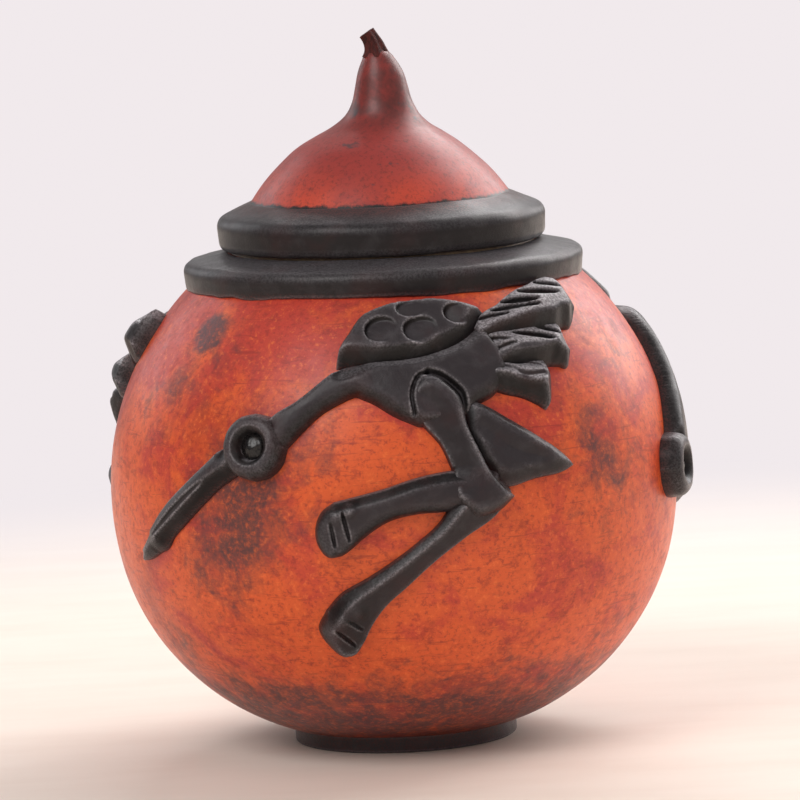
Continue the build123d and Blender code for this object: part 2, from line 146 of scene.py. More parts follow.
def carry_out(piece, tree, finish, sizes):
    """Runs a shape tree on a piece and leaves the result as its plain mesh."""
    modifier = piece.modifiers.new(tree.name, "NODES")
    modifier.node_group = tree
    for socket in tree.interface.items_tree:
        if socket.in_out == "INPUT" and socket.name in sizes:
            modifier[socket.identifier] = float(sizes[socket.name])
        if socket.in_out == "INPUT" and socket.name == "Finish":
            modifier[socket.identifier] = finish
    bpy.context.view_layer.update()
    graph = bpy.context.evaluated_depsgraph_get()
    plain = bpy.data.meshes.new_from_object(
        piece.evaluated_get(graph), preserve_all_data_layers=True, depsgraph=graph)
    piece.modifiers.remove(modifier)
    piece.data = plain
    plain.name = piece.name


def turning_tree():
    """A section, given as a line of points, turned round the upright axis, a little uneven."""
    tree, given = new_tree("turned_piece", ["Sides", "Uneven", "Lump", "Seed"])
    points = add(tree, "GeometryNodeAttributeDomainSize", given["Shape"]).outputs["Point Count"]
    columns = maths(tree, "ADD", given["Sides"], 1)
    grid = add(tree, "GeometryNodeMeshGrid", 1, 1, columns, points).outputs[0]
    index = add(tree, "GeometryNodeInputIndex").outputs[0]
    column = maths(tree, "FLOOR", maths(tree, "DIVIDE", maths(tree, "ADD", index, 0.5), points))
    row = maths(tree, "SUBTRACT", index, maths(tree, "MULTIPLY", column, points))
    position = add(tree, "GeometryNodeInputPosition").outputs[0]
    sample = add(tree, "GeometryNodeSampleIndex", given["Shape"], None, None,
                 data_type="FLOAT_VECTOR", domain="POINT")
    tree.links.new(position, sample.inputs["Value"])
    tree.links.new(row, sample.inputs["Index"])
    turn = maths(tree, "MULTIPLY", column, maths(tree, "DIVIDE", math.tau, given["Sides"]))
    turned = add(tree, "ShaderNodeVectorRotate", sample.outputs[0], None, None, turn,
                 rotation_type="Z_AXIS").outputs[0]
    placed = add(tree, "GeometryNodeSetPosition", grid, None, turned).outputs[0]
    joined = add(tree, "GeometryNodeMergeByDistance", placed, None, 0.02 * MM).outputs[0]
    lumps = add(tree, "ShaderNodeTexNoise", position, given["Seed"],
                maths(tree, "DIVIDE", 1, given["Lump"]), 2, noise_dimensions="4D").outputs[0]
    swell = maths(tree, "MULTIPLY", maths(tree, "SUBTRACT", lumps, 0.5),
                  maths(tree, "MULTIPLY", given["Uneven"], 2))
    normal = add(tree, "GeometryNodeInputNormal").outputs[0]
    push = add(tree, "ShaderNodeVectorMath", normal, operation="SCALE")
    tree.links.new(swell, push.inputs["Scale"])
    uneven = add(tree, "GeometryNodeSetPosition", joined, None, None, push.outputs[0]).outputs[0]
    close_tree(tree, given, uneven)
    return tree


def new_piece(name, data):
    """A new object in the scene, with what it is made of."""
    piece = bpy.data.objects.new(name, data)
    bpy.context.scene.collection.objects.link(piece)
    return piece


def outward(mesh, crease):
    """Faces pointing out, smooth but for edges sharper than a crease in degrees."""
    shell = bmesh.new()
    shell.from_mesh(mesh)
    bmesh.ops.recalc_face_normals(shell, faces=shell.faces)
    shell.to_mesh(mesh)
    shell.free()
    mesh.shade_smooth()
    mesh.set_sharp_from_angle(angle=math.radians(crease))


TURNING = turning_tree()


def turn_piece(name, section, finish, sides, uneven, lump, seed, closed):
    """A piece turned from its section, with the section's ends on the axis or joined to each other."""
    mesh = bpy.data.meshes.new(name)
    points = section + section[:1] if closed else section
    rows = [(i, i + 1) for i in range(len(points) - 1)]
    mesh.from_pydata([(r, 0, z) for r, z in points], rows, [])
    piece = new_piece(name, mesh)
    carry_out(piece, TURNING, finish, {"Sides": sides, "Uneven": uneven, "Lump": lump, "Seed": seed})
    outward(piece.data, 40)
    return piece


def new_finish(name, roughness):
    """A material with its tree, its shader and the place on the piece that patterns are tied to."""
    material = bpy.data.materials.new(name)
    material.use_nodes = True
    tree = material.node_tree
    shader = tree.nodes["Principled BSDF"]
    shader.inputs["Roughness"].default_value = roughness
    where = add(tree, "ShaderNodeTexCoord").outputs["Object"]
    return material, tree, shader, where


def mix(tree, share, one, other):
    """Two colours mixed by a share."""
    made = add(tree, "ShaderNodeMix", data_type="RGBA")
    for place, value in ((0, share), (6, one), (7, other)):
        if isinstance(value, bpy.types.NodeSocket):
            tree.links.new(value, made.inputs[place])
        else:
            made.inputs[place].default_value = value
    return made.outputs[2]


def fade(tree, value, low, high, to_low=0.0, to_high=1.0):
    """A value taken from one range to another with soft ends."""
    return add(tree, "ShaderNodeMapRange", value, low, high, to_low, to_high,
               interpolation_type="SMOOTHSTEP").outputs[0]


def mottle(tree, where, size, detail=3.0, rough=0.55, warp=0.0):
    """Cloudy noise whose clouds are about a size across."""
    return add(tree, "ShaderNodeTexNoise", where, None, 1 / size, detail, rough, None, None, None,
               warp).outputs[0]


def stain(tree, colour, dye, pattern, low, high, most):
    """A colour stained with a dye where a pattern goes from low to high, up to a share."""
    return mix(tree, fade(tree, pattern, low, high, 0, most), colour, dye)


def apart_from(tree, where, spot):
    """How far a place is from a spot."""
    return add(tree, "ShaderNodeVectorMath", where, spot, operation="DISTANCE").outputs["Value"]


def marked(tree, name):
    """A value that is marked on the points of a piece."""
    return add(tree, "ShaderNodeAttribute", attribute_name=name).outputs["Fac"]


def give_colour(tree, shader, colour, roughness):
    """Sets a finish's colour and roughness."""
    tree.links.new(colour, shader.inputs["Base Color"])
    tree.links.new(roughness, shader.inputs["Roughness"])


def wax(shader):
    """A thin coat of wax, rubbed to a dull shine."""
    shader.inputs["Coat Weight"].default_value = 0.12
    shader.inputs["Coat Roughness"].default_value = 0.3


def bump(tree, shader, height, depth):
    """Fine relief of the surface."""
    made = add(tree, "ShaderNodeBump", 1.0, depth)
    tree.links.new(height, made.inputs["Height"])
    tree.links.new(made.outputs[0], shader.inputs["Normal"])


def on_gourd(around, up):
    """A point on the gourd from degrees round from the front and degrees up from the widest circle."""
    a, u = math.radians(around), math.radians(up)
    return Vector((math.sin(a) * math.cos(u), -math.cos(a) * math.cos(u), math.sin(u))) * GOURD_R \
        + Vector((0, 0, MIDDLE_Z))


def mark(mesh, name, values):
    """A value for each point of a mesh, or one for all of them, kept under a name for its finish."""
    layer = mesh.attributes.get(name) or mesh.attributes.new(name, "FLOAT", "POINT")
    layer.data.foreach_set("value", np.full(len(mesh.vertices), values, np.float32))


def points_of(mesh):
    """The points of a mesh as rows of numbers."""
    flat = np.zeros(len(mesh.vertices) * 3)
    mesh.vertices.foreach_get("co", flat)
    return flat.reshape(-1, 3)


def normals_of(mesh):
    """The directions that a mesh's points face, as rows of numbers."""
    flat = np.zeros(len(mesh.vertices) * 3)
    mesh.vertex_normals.foreach_get("vector", flat)
    return flat.reshape(-1, 3)


def facing_out(mesh):
    """How squarely each point of a mesh faces away from the gourd's middle, 1 for straight away."""
    away = points_of(mesh) - np.array((0, 0, MIDDLE_Z))
    away = away / np.linalg.norm(away, axis=1)[:, None]
    return (away * normals_of(mesh)).sum(1)


def raw_inside(tree, where, colour):
    """A dye outside, bare buff gourd with its fibres inside."""
    fibres = fade(tree, mottle(tree, where, FIBRE_SIZE, 6, 0.7, 0.6), 0.35, 0.65)
    return mix(tree, marked(tree, "inside"), colour, mix(tree, fibres, RAW_FIBRE, RAW_GOURD))


def gourd_skin():
    """Dyed and waxed gourd: red and orange clouds, fine grain, dark red brush strokes, smoky patches,
    painted shade on the left side, and a colour that gets darker towards the foot.
    """
    material, tree, shader, where = new_finish("gourd_skin", 0.4)
    height = add(tree, "ShaderNodeSeparateXYZ", where).outputs[2]
    clouds = mottle(tree, vectors(tree, "ADD", where, (0.5, 0.0, 0.1)), CLOUD_SIZE, 7, 0.66, 0.5)
    warmer = fade(tree, height, MIDDLE_Z + 60 * MM, MIDDLE_Z - 10 * MM, -0.06, 0.08)
    front = fade(tree, apart_from(tree, where, on_gourd(*WARM_FRONT)), WARM_REACH, 0.0, 0, 0.2)
    warmer = maths(tree, "ADD", warmer, front)
    colour = mix(tree, fade(tree, maths(tree, "ADD", clouds, warmer), 0.4, 0.6), RED_DYE, ORANGE_DYE)
    deep = mottle(tree, vectors(tree, "ADD", where, (0.3, 0.1, 0.2)), DEEP_CLOUD_SIZE, 5, 0.6, 0.4)
    colour = stain(tree, colour, DEEP_RED_DYE, deep, 0.5, 0.72, 0.5)
    grain = mottle(tree, where, GRAIN_SIZE, 3, 0.75)
    colour = stain(tree, colour, DEEP_RED_DYE, grain, 0.52, 0.68, 0.55)
    colour = stain(tree, colour, BRIGHT_ORANGE_DYE, grain, 0.46, 0.3, 0.5)
    flecks = mottle(tree, where, FLECK_SIZE, 6, 0.72)
    colour = stain(tree, colour, DEEP_RED_DYE, flecks, 0.52, 0.68, 0.45)
    slanted = add(tree, "ShaderNodeMapping", where, None, (0.15, 0.2, 0), (1, 1, 9)).outputs[0]
    strokes = mottle(tree, slanted, STROKE_LENGTH, 6, 0.72, 0.6)
    colour = stain(tree, colour, DEEP_RED_DYE, strokes, 0.55, 0.66, 0.5)
    # Darker towards the foot.
    smoke_and_shade = fade(tree, height, *DARKER_FOOT, 0, 0.9)
    # Some of these patches are painted shade on the gourd's left side; the rest are smoke.
    for around, up, reach, strength in SMOKE_AND_SHADE_PATCHES:
        apart = apart_from(tree, where, on_gourd(around, up))
        smoke_and_shade = maths(tree, "MAXIMUM", smoke_and_shade, fade(tree, apart, reach * MM, 0.0, 0, strength))
    blotches = mottle(tree, where, BLOTCH_SIZE, 7, 0.64, 0.7)
    wisps = maths(tree, "MULTIPLY", maths(tree, "SUBTRACT", blotches, 0.5), 1.8)
    smoke_and_shade_share = fade(tree, maths(tree, "ADD", smoke_and_shade, wisps), 0.2, 0.95, 0, 0.86)
    fine = fade(tree, grain, 0.3, 0.56, 0.5, 1)
    colour = mix(tree, maths(tree, "MULTIPLY", smoke_and_shade_share, fine), colour, SMOKE_AND_SHADE_BROWN)
    give_colour(tree, shader, raw_inside(tree, where, colour), fade(tree, flecks, 0.3, 0.7, 0.36, 0.5))
    shader.inputs["Specular IOR Level"].default_value = 0.42
    wax(shader)
    bump(tree, shader, maths(tree, "ADD", grain, maths(tree, "MULTIPLY", strokes, 0.6)), SKIN_BUMP)
    return material


GOURD_SKIN = gourd_skin()
seat_fall = MOUTH_Z - MIDDLE_Z - MOUTH_R * SEAT_SLOPE
inner_r = GOURD_R - SHELL_WALL
seat_turn = 1 + SEAT_SLOPE**2
seat_root = math.sqrt(seat_turn * inner_r**2 - seat_fall**2)
seat_inner_r = (seat_root - seat_fall * SEAT_SLOPE) / seat_turn
seat_inner_angle = math.degrees(math.asin((seat_fall + seat_inner_r * SEAT_SLOPE) / inner_r))
mouth_angle = math.degrees(math.acos(MOUTH_R / GOURD_R))
gourd_section = gourd_side(0, mouth_angle) + gourd_side(SHELL_WALL, seat_inner_angle)[::-1]
gourd_bowl = turn_piece("gourd_bowl_shell", gourd_section, GOURD_SKIN, sides=GOURD_SIDES,
                        uneven=GOURD_UNEVEN, lump=GOURD_LUMP, seed=3.0, closed=False)
mark(gourd_bowl.data, "inside", facing_out(gourd_bowl.data) < 0.6)
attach(gourd_bowl, "bowl")
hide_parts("gourd_bowl")

# The foot ring. A low ring glued under the gourd so that it stands, hollowed to the round bottom
# and painted black like the bands.
FOOT_R = 33.4 * MM
FOOT_WALL = 9.4 * MM
FOOT_TOP = LOWER_CENTRE_Z - math.sqrt(LOWER_R**2 - (FOOT_R - LOWER_CENTRE_R)**2)
RING_SIDES = 260
RING_STEP = 0.8 * MM
FOOT_ROUND = 2.4 * MM
BLACK_PAINT = (0.006, 0.0048, 0.0052, 1)
# Dusty black paint; on the relief's outward faces it is also painted light.
DUSTY_AND_LIT_PAINT = (0.031, 0.025, 0.028, 1)
# Grey of rubbed paint, also used for painted highlights on crests.
RUBBED_AND_HIGHLIGHT_GREY = (0.42, 0.39, 0.41, 1)
THIN_PAINT = (0.11, 0.018, 0.012, 1)
PAINT_GRAIN = 0.65 * MM
PAINT_PATCH = 7 * MM
BROWN_PATCH = 16 * MM
PAINT_BUMP = 0.08 * MM
# Wear and painted highlights: how grey rubbed paint gets, how strongly crisp edges are rubbed and soft
# crests get a painted highlight and from how sharp a bend on, and how far a face tilts up before it is
# fully dusty with a painted sheen
BAND_WEAR_AND_HIGHLIGHT = 0.24
CRISP_GAIN, CRISP_START = 1.4, 0.35
SOFT_GAIN, SOFT_START = 4, 0.3
SOFT_ROUNDS = 12
DUST_AND_SHEEN_TILT = 0.15


def black_paint(name, wear_and_highlight):
    """Satin black paint, grey where hands rub it and where it carries painted highlights, dusty where
    marked, which on the relief is also painted light, and dark red where it is thin over the gourd.
    """
    material, tree, shader, where = new_finish(name, 0.42)
    grain = mottle(tree, where, PAINT_GRAIN, 4, 0.75)
    patches = mottle(tree, where, PAINT_PATCH, 4, 0.6, 0.5)
    # Dusty where marked; on the relief this is painted light on faces that turn out, with the flanks left
    # black as painted shade.
    colour = mix(tree, marked(tree, "dusty_and_lit"), BLACK_PAINT, DUSTY_AND_LIT_PAINT)
    colour = stain(tree, colour, RUBBED_AND_HIGHLIGHT_GREY, patches, 0.45, 0.75, 0.04)
    colour = stain(tree, colour, THIN_PAINT, mottle(tree, where, BROWN_PATCH, 3, 0.6), 0.45, 0.7, 0.12)
    # Grey where rubbed, and where crests and up-facing faces carry painted highlights.
    worn_and_highlit = maths(tree, "MULTIPLY", marked(tree, "rubbed_and_highlit"), fade(tree, grain, 0.4, 0.6, 0.25, 1))
    colour = mix(tree, maths(tree, "MULTIPLY", worn_and_highlit, wear_and_highlight), colour, RUBBED_AND_HIGHLIGHT_GREY)
    bare = maths(tree, "MULTIPLY", marked(tree, "thin"), fade(tree, grain, 0.42, 0.6))
    colour = mix(tree, bare, colour, THIN_PAINT)
    give_colour(tree, shader, colour, fade(tree, patches, 0.3, 0.7, 0.3, 0.42))
    shader.inputs["Specular IOR Level"].default_value = 0.28
    bump(tree, shader, maths(tree, "ADD", grain, maths(tree, "MULTIPLY", patches, 2.0)), PAINT_BUMP)
    return material


def soft_section(corners):
    """A closed section with rounded corners, each (radius out, height, rounding), cut into short runs."""
    rounded = []
    count = len(corners)
    for i, (r, z, rounding) in enumerate(corners):
        here = Vector((r, z))
        before = Vector(corners[i - 1][:2]) - here
        after = Vector(corners[(i + 1) % count][:2]) - here
        half = before.angle(after) / 2
        reach = rounding / math.tan(half) if rounding else 0
        start = here + before.normalized() * reach
        end = here + after.normalized() * reach
        steps = 8 if rounding else 0
        for step in range(steps + 1):
            t = step / steps if steps else 0
            rounded.append(start * (1 - t)**2 + here * 2 * t * (1 - t) + end * t**2)
    section = []
    for i, point in enumerate(rounded):
        following = rounded[(i + 1) % len(rounded)]
        parts = max(1, math.ceil((following - point).length / RING_STEP))
        section += [tuple(point.lerp(following, part / parts)) for part in range(parts)]
    return section


def spread(values, edges, rounds):
    """Values evened out along a mesh's edges."""
    count = np.bincount(edges.ravel(), minlength=len(values))
    for _ in range(rounds):
        total = np.bincount(edges[:, 0], values[edges[:, 1]], len(values))
        total = total + np.bincount(edges[:, 1], values[edges[:, 0]], len(values))
        values = 0.5 * values + 0.5 * total / np.maximum(count, 1)
    return values


def mark_rubbed_and_highlit(mesh, round_r, rounds, soft_highlight_share=0.0, dust=0.0, dust_and_sheen_from=0.8):
    """Marks a mesh's ridges as rubbed and highlit: 1 where the surface is rounder than a radius, 0 where
    flat or hollow. The soft crests get a share of that as a painted highlight, and dust with a painted sheen
    lies on what faces up by more than the given threshold."""
    spots = points_of(mesh)
    normals = normals_of(mesh)
    edges = np.zeros(len(mesh.edges) * 2, np.int64)
    mesh.edges.foreach_get("vertices", edges)
    edges = edges.reshape(-1, 2)
    run = spots[edges[:, 1]] - spots[edges[:, 0]]
    length = np.maximum((run**2).sum(1), 1e-14)
    bend = np.bincount(edges[:, 0], -(normals[edges[:, 0]] * run).sum(1) / length, len(spots))
    bend = bend + np.bincount(edges[:, 1], (normals[edges[:, 1]] * run).sum(1) / length, len(spots))
    bend = 2 * bend / np.maximum(np.bincount(edges.ravel(), minlength=len(spots)), 1)
    crisp = np.clip(CRISP_GAIN * spread(bend, edges, rounds) * round_r - CRISP_START, 0, 1)
    soft = np.clip(spread(bend, edges, SOFT_ROUNDS * rounds) * SOFT_GAIN * round_r - SOFT_START, 0, 1)
    # Up-facing faces get dust with a painted sheen.
    facing_up = np.clip((normals[:, 2] - dust_and_sheen_from) / DUST_AND_SHEEN_TILT, 0, 1)
    mark(mesh, "rubbed_and_highlit", np.clip(crisp + soft_highlight_share * soft + dust * facing_up, 0, 1))


BAND_PAINT = black_paint("black_band_paint", BAND_WEAR_AND_HIGHLIGHT)
foot_section = soft_section([(FOOT_R - FOOT_WALL, 0, 0.6 * MM), (FOOT_R, 0, 1 * MM),
                             (FOOT_R, FOOT_TOP + 0.6 * MM, 0.3 * MM),
                             (FOOT_R - 2 * MM, FOOT_TOP + 0.2 * MM, 0),
                             (FOOT_R - FOOT_WALL, 3.2 * MM, 0)])
foot_ring = turn_piece("foot_ring_painted", foot_section, BAND_PAINT, sides=RING_SIDES,
                       uneven=0.12 * MM, lump=14 * MM, seed=5.0, closed=True)
for point in foot_ring.data.vertices:
    point.co.z = max(point.co.z, 0)
mark_rubbed_and_highlit(foot_ring.data, FOOT_ROUND, 1)
mark(foot_ring.data, "thin", np.clip(points_of(foot_ring.data)[:, 2] / FOOT_TOP - 0.4, 0.3, 1))
mark(foot_ring.data, "dusty_and_lit", 1.0)
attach(foot_ring, "bowl")
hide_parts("foot_ring")

# The band round the mouth. Built up on the gourd in black, with a flat sloping top, a soft upper
# edge and a lower edge that waves where the brush stopped.
MOUTH_RING_DROP = 9.2 * MM
MOUTH_RING_PROUD = 2.2 * MM
MOUTH_RING_WALL = 6.6 * MM
MOUTH_RING_LIP = 0.5 * MM
MOUTH_RING_SETBACK = 0.5 * MM
BAND_SINK = 0.7 * MM
BAND_ROUND = 3.2 * MM
BAND_OPEN = 0.3
BRUSH_WAVE = 1.8 * MM
BRUSH_WAVE_LENGTH = 16 * MM
BRUSH_REACH = 5 * MM
BRUSH_THIN_BELOW = 2.4 * MM
BRUSH_THIN_REACH = 4 * MM
band_low = MOUTH_Z - MOUTH_RING_DROP
band_gourd_r = math.sqrt(GOURD_R**2 - (band_low - MIDDLE_Z)**2)
band_out = band_gourd_r + MOUTH_RING_PROUD
band_in = MOUTH_R + MOUTH_RING_SETBACK
mouth_section = soft_section([(band_gourd_r - BAND_SINK, band_low - MOUTH_RING_PROUD * 0.8, 0),
                              (band_out - 0.8 * MM, band_low - 0.6 * MM, 1.0 * MM),
                              (band_out, band_low + MOUTH_RING_WALL, 3.4 * MM),
                              (band_in, MOUTH_Z + MOUTH_RING_LIP, 0.5 * MM),
                              (band_in - 0.2 * MM, MOUTH_Z - 1.6 * MM, 0)])
mouth_ring = turn_piece("mouth_ring_painted", mouth_section, BAND_PAINT, sides=RING_SIDES,
                        uneven=0.45 * MM, lump=16 * MM, seed=8.0, closed=True)


def wave_lower_edge(mesh, edge):
    """Lets the lower edge of a band run up and down by hand, most at the edge and not above a reach."""
    for point in mesh.vertices:
        share = max(0.0, 1 - (point.co.z - edge) / BRUSH_REACH)
        around = Vector((point.co.x, point.co.y, 0)) / BRUSH_WAVE_LENGTH
        wave = noise.noise(around) + 0.5 * noise.noise(around * 2.7)
        point.co.z -= BRUSH_WAVE * share * max(-0.4, wave)


wave_lower_edge(mouth_ring.data, band_low - MOUTH_RING_PROUD)
# The band's top gets dust with a painted sheen.
mark_rubbed_and_highlit(mouth_ring.data, BAND_ROUND, 2, dust=1.0)
mouth_heights = points_of(mouth_ring.data)[:, 2] - band_low + BRUSH_THIN_BELOW
mark(mouth_ring.data, "thin", np.clip(1 - mouth_heights / BRUSH_THIN_REACH, 0, 0.8))
mark(mouth_ring.data, "dusty_and_lit", BAND_OPEN)
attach(mouth_ring, "bowl")
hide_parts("mouth_ring")

# The birds. Three long-beaked wading birds stand in relief round the gourd, carved in pieces that
# lie over each other, hollowed with small gouges and painted black, with the high edges rubbed grey.
# Their paint also holds painted highlights on the crests, painted light on the faces that turn up and
# out, and painted shade on the flanks.
RELIEF_PAINT = black_paint("black_relief_paint", 0.85)
# Where each bird stands: degrees round from the front, degrees lower than the front one
BIRD_STANDS = {"front_bird": (0, 0), "right_bird": (125, 0), "left_bird": (224, 7)}
# The carving in millimetres: how close its points lie, how far its wall goes in and flares, how soft its
# creases are, how wide and deep the knife's coarse and fine marks are, and where the paint gets thin
RELIEF_PITCH = 0.36
FLOOR_PITCH = 4.0
ROW_SHARE = 0.866
WALL_SINK = 1.2
WALL_FLARE = 0.3
CREASE_BLUR = 0.5
COARSE_MARK, COARSE_DEPTH = 5, 0.12
FINE_MARK, FINE_DEPTH = 1.6, 0.04
LEAST_HEIGHT = 0.35
THIN_HEIGHT = 2.4
# Wear and painted light on the relief. Soft crests get a painted highlight. The tail feathers are dusty,
# with a painted sheen, wherever they tilt up, the other pieces only on top. Faces that turn straight out
# get dusty paint that is also painted light, and the flanks stay black as painted shade.
RELIEF_ROUND = 1.05 * MM
RELIEF_SOFT_HIGHLIGHT = 0.24
RELIEF_DUST_AND_SHEEN = {"dust": 0.55, "dust_and_sheen_from": 0.8}
TAIL_DUST_AND_SHEEN = {"dust": 1.0, "dust_and_sheen_from": 0.5}
DUSTY_AND_LIT_FROM, DUSTY_AND_LIT_REACH = 0.8, 0.17


def line_through(points, spacing):
    """A smooth open line through points, as closely spaced points."""
    spots = np.array(points, float)
    times = np.concatenate([[0], np.cumsum(np.linalg.norm(np.diff(spots, axis=0), axis=1))])
    if len(spots) > 2:
        slopes = np.gradient(spots, times, axis=0)
    else:
        slopes = np.array([spots[1] - spots[0]] * 2) / times[1]
    line = []
    for i in range(len(spots) - 1):
        span = times[i + 1] - times[i]
        count = max(1, round(span / spacing))
        for t in np.arange(count) / count:
            line.append(spots[i] * (2 * t**3 - 3 * t**2 + 1) + slopes[i] * span * (t**3 - 2 * t**2 + t)
                        + spots[i + 1] * (3 * t**2 - 2 * t**3) + slopes[i + 1] * span * (t**3 - t**2))
    return np.array(line + [spots[-1]])


def distance_to(spots, line):
    """How far each spot lies from a line."""
    start, run = line[:-1], np.diff(line, axis=0)
    length = np.maximum((run**2).sum(1), 1e-12)
    nearest = np.full(len(spots), np.inf)
    for a, step, size in zip(start, run, length):
        along = np.clip(((spots - a) @ step) / size, 0, 1)
        nearest = np.minimum(nearest, ((spots - a - along[:, None] * step)**2).sum(1))
    return np.sqrt(nearest)


def inside(spots, loop):
    """Which spots lie within a closed loop."""
    found = np.zeros(len(spots), bool)
    for (ax, ay), (bx, by) in zip(loop, np.roll(loop, -1, axis=0)):
        if ay == by:
            continue
        crosses = (ay > spots[:, 1]) != (by > spots[:, 1])
        found ^= crosses & (spots[:, 0] < (bx - ax) * (spots[:, 1] - ay) / (by - ay) + ax)
    return found


def filled(loop, pitch):
    """Spots inside a loop, in staggered rows."""
    low, high = loop.min(0), loop.max(0)
    rows = []
    for i, y in enumerate(np.arange(low[1], high[1], pitch * ROW_SHARE)):
        x = np.arange(low[0] + (i % 2) * pitch / 2, high[0], pitch)
        rows.append(np.column_stack([x, np.full(len(x), y)]))
    spots = np.concatenate(rows)
    spots = spots[inside(spots, loop)]
    return spots[distance_to(spots, np.vstack([loop, loop[:1]])) > 0.6 * pitch]


def triangles(loop, spots):
    """The loop and the spots in it joined by triangles."""
    flat = [Vector(p) for p in np.vstack([loop, spots])]
    made = delaunay_2d_cdt(flat, [], [list(range(len(loop)))], 1, 1e-6)
    return [tuple(face) for face in made[2]]


def gouge(start, end, width, depth):
    """A leaf-shaped cut with a round bottom, from start to end."""
    def cut(spots):
        a, run = np.array(start, float), np.array(end, float) - np.array(start, float)
        along = ((spots - a) @ run) / (run @ run)
        across = np.abs((spots - a) @ np.array([-run[1], run[0]])) / np.linalg.norm(run)
        half = width / 2 * np.sqrt(np.clip(1 - (2 * along - 1)**2, 0, 1))
        return depth * np.clip(1 - (across / np.maximum(half, 1e-6))**2, 0, 1)
    return cut


def groove(points, width, depth):
    """A long cut that follows a line."""
    def cut(spots):
        return depth * np.clip(1 - distance_to(spots, line_through(points, 1.0)) / (width / 2), 0, 1)
    return cut


def scoop(centre, radii, depth, fade_to):
    """An oval cut, steep and deep on one side and running out on the other."""
    def cut(spots):
        away = (spots - np.array(centre)) / np.array(radii)
        along = away @ (np.array(fade_to) / np.linalg.norm(fade_to))
        rim = np.clip((1 - np.linalg.norm(away, axis=1)) / 0.16, 0, 1)
        return depth * rim * np.clip(0.5 - 0.55 * along, 0, 1)
    return cut


def knuckle(centre, radius, height):
    """A round swelling left standing."""
    def cut(spots):
        away = np.linalg.norm(spots - np.array(centre), axis=1) / radius
        return -height * np.clip(1 - away**2, 0, 1)**2
    return cut


def swelling(foot, width, top, apart):
    """A round rise from the outline to the top over a width."""
    share = np.clip(apart / width, 0, 1)
    return foot + (top - foot) * np.sqrt(1 - (1 - share)**2)


def softer(one, other, blur):
    """The lower of two heights, with the crease between them blurred."""
    share = np.clip(0.5 + 0.5 * (other - one) / blur, 0, 1)
    return other * (1 - share) + one * share - blur * share * (1 - share)


def carved_height(spots, count, links, runs, edges, top, cuts, seed):
    """The height of each spot of a carving, of which the first ones, by count, are its outline."""
    height = np.full(len(spots), float(top))
    for run, (rise, foot, size, _) in zip(runs, edges):
        apart = distance_to(spots, run)
        rising = foot + size * apart if rise == "bevel" else swelling(foot, size, top, apart)
        height = softer(height, rising, CREASE_BLUR)
    height[count:] = spread(height, links, 4)[count:]
    for cut in cuts:
        height = height - cut(spots)
    height[count:] = spread(height, links, 1)[count:]
    for i, (x, y) in enumerate(spots):
        coarse = noise.noise(Vector((x / COARSE_MARK, y / COARSE_MARK, seed)))
        fine = noise.noise(Vector((x / FINE_MARK, y / FINE_MARK, seed + 7)))
        height[i] += COARSE_DEPTH * coarse + FINE_DEPTH * fine
    return np.maximum(height, LEAST_HEIGHT)


def sculpt(name, edges, top, cuts, seed):
    """A carved piece, still flat, with its top, its wall and its underside."""
    runs = []
    for i, (_, _, _, points) in enumerate(edges):
        following = edges[(i + 1) % len(edges)][3]
        runs.append(line_through(list(points) + [following[0]], RELIEF_PITCH))
    loop = np.concatenate([run[:-1] for run in runs])
    if (loop[:, 0] * np.roll(loop[:, 1], -1) - loop[:, 1] * np.roll(loop[:, 0], -1)).sum() < 0:
        loop = loop[::-1]
    spots = np.vstack([loop, filled(loop, RELIEF_PITCH)])
    count, top_count = len(loop), len(spots)
    faces = triangles(loop, spots[count:])
    corners = np.array(faces)
    links = np.concatenate([corners[:, [0, 1]], corners[:, [1, 2]], corners[:, [2, 0]]])
    height = carved_height(spots, count, links, runs, edges, top, cuts, seed)
    tangent = np.roll(loop, -1, axis=0) - np.roll(loop, 1, axis=0)
    out = np.column_stack([tangent[:, 1], -tangent[:, 0]])
    out = out / np.maximum(np.linalg.norm(out, axis=1), 1e-9)[:, None]
    wall = np.column_stack([loop + 0.5 * WALL_FLARE * out, 0.5 * height[:count]])
    base = np.column_stack([loop + WALL_FLARE * out, np.full(count, -WALL_SINK)])
    floor = filled(loop, FLOOR_PITCH)
    floor_points = np.column_stack([floor, np.full(len(floor), -WALL_SINK)])
    points = np.vstack([np.column_stack([spots, height]), wall, base, floor_points])
    step = [(i + 1) % count for i in range(count)]
    for upper, lower in ((0, top_count), (top_count, top_count + count)):
        faces += [(upper + i, lower + i, lower + step[i], upper + step[i]) for i in range(count)]
    under = triangles(base[:, :2], floor)
    faces += [tuple(top_count + count + corner for corner in face[::-1]) for face in under]
    mesh = bpy.data.meshes.new(name)
    mesh.from_pydata(points * MM, [], faces)
    mark(mesh, "thin", np.clip(1.05 - points[:, 2] / THIN_HEIGHT, 0, 1) * 0.8)
    return mesh


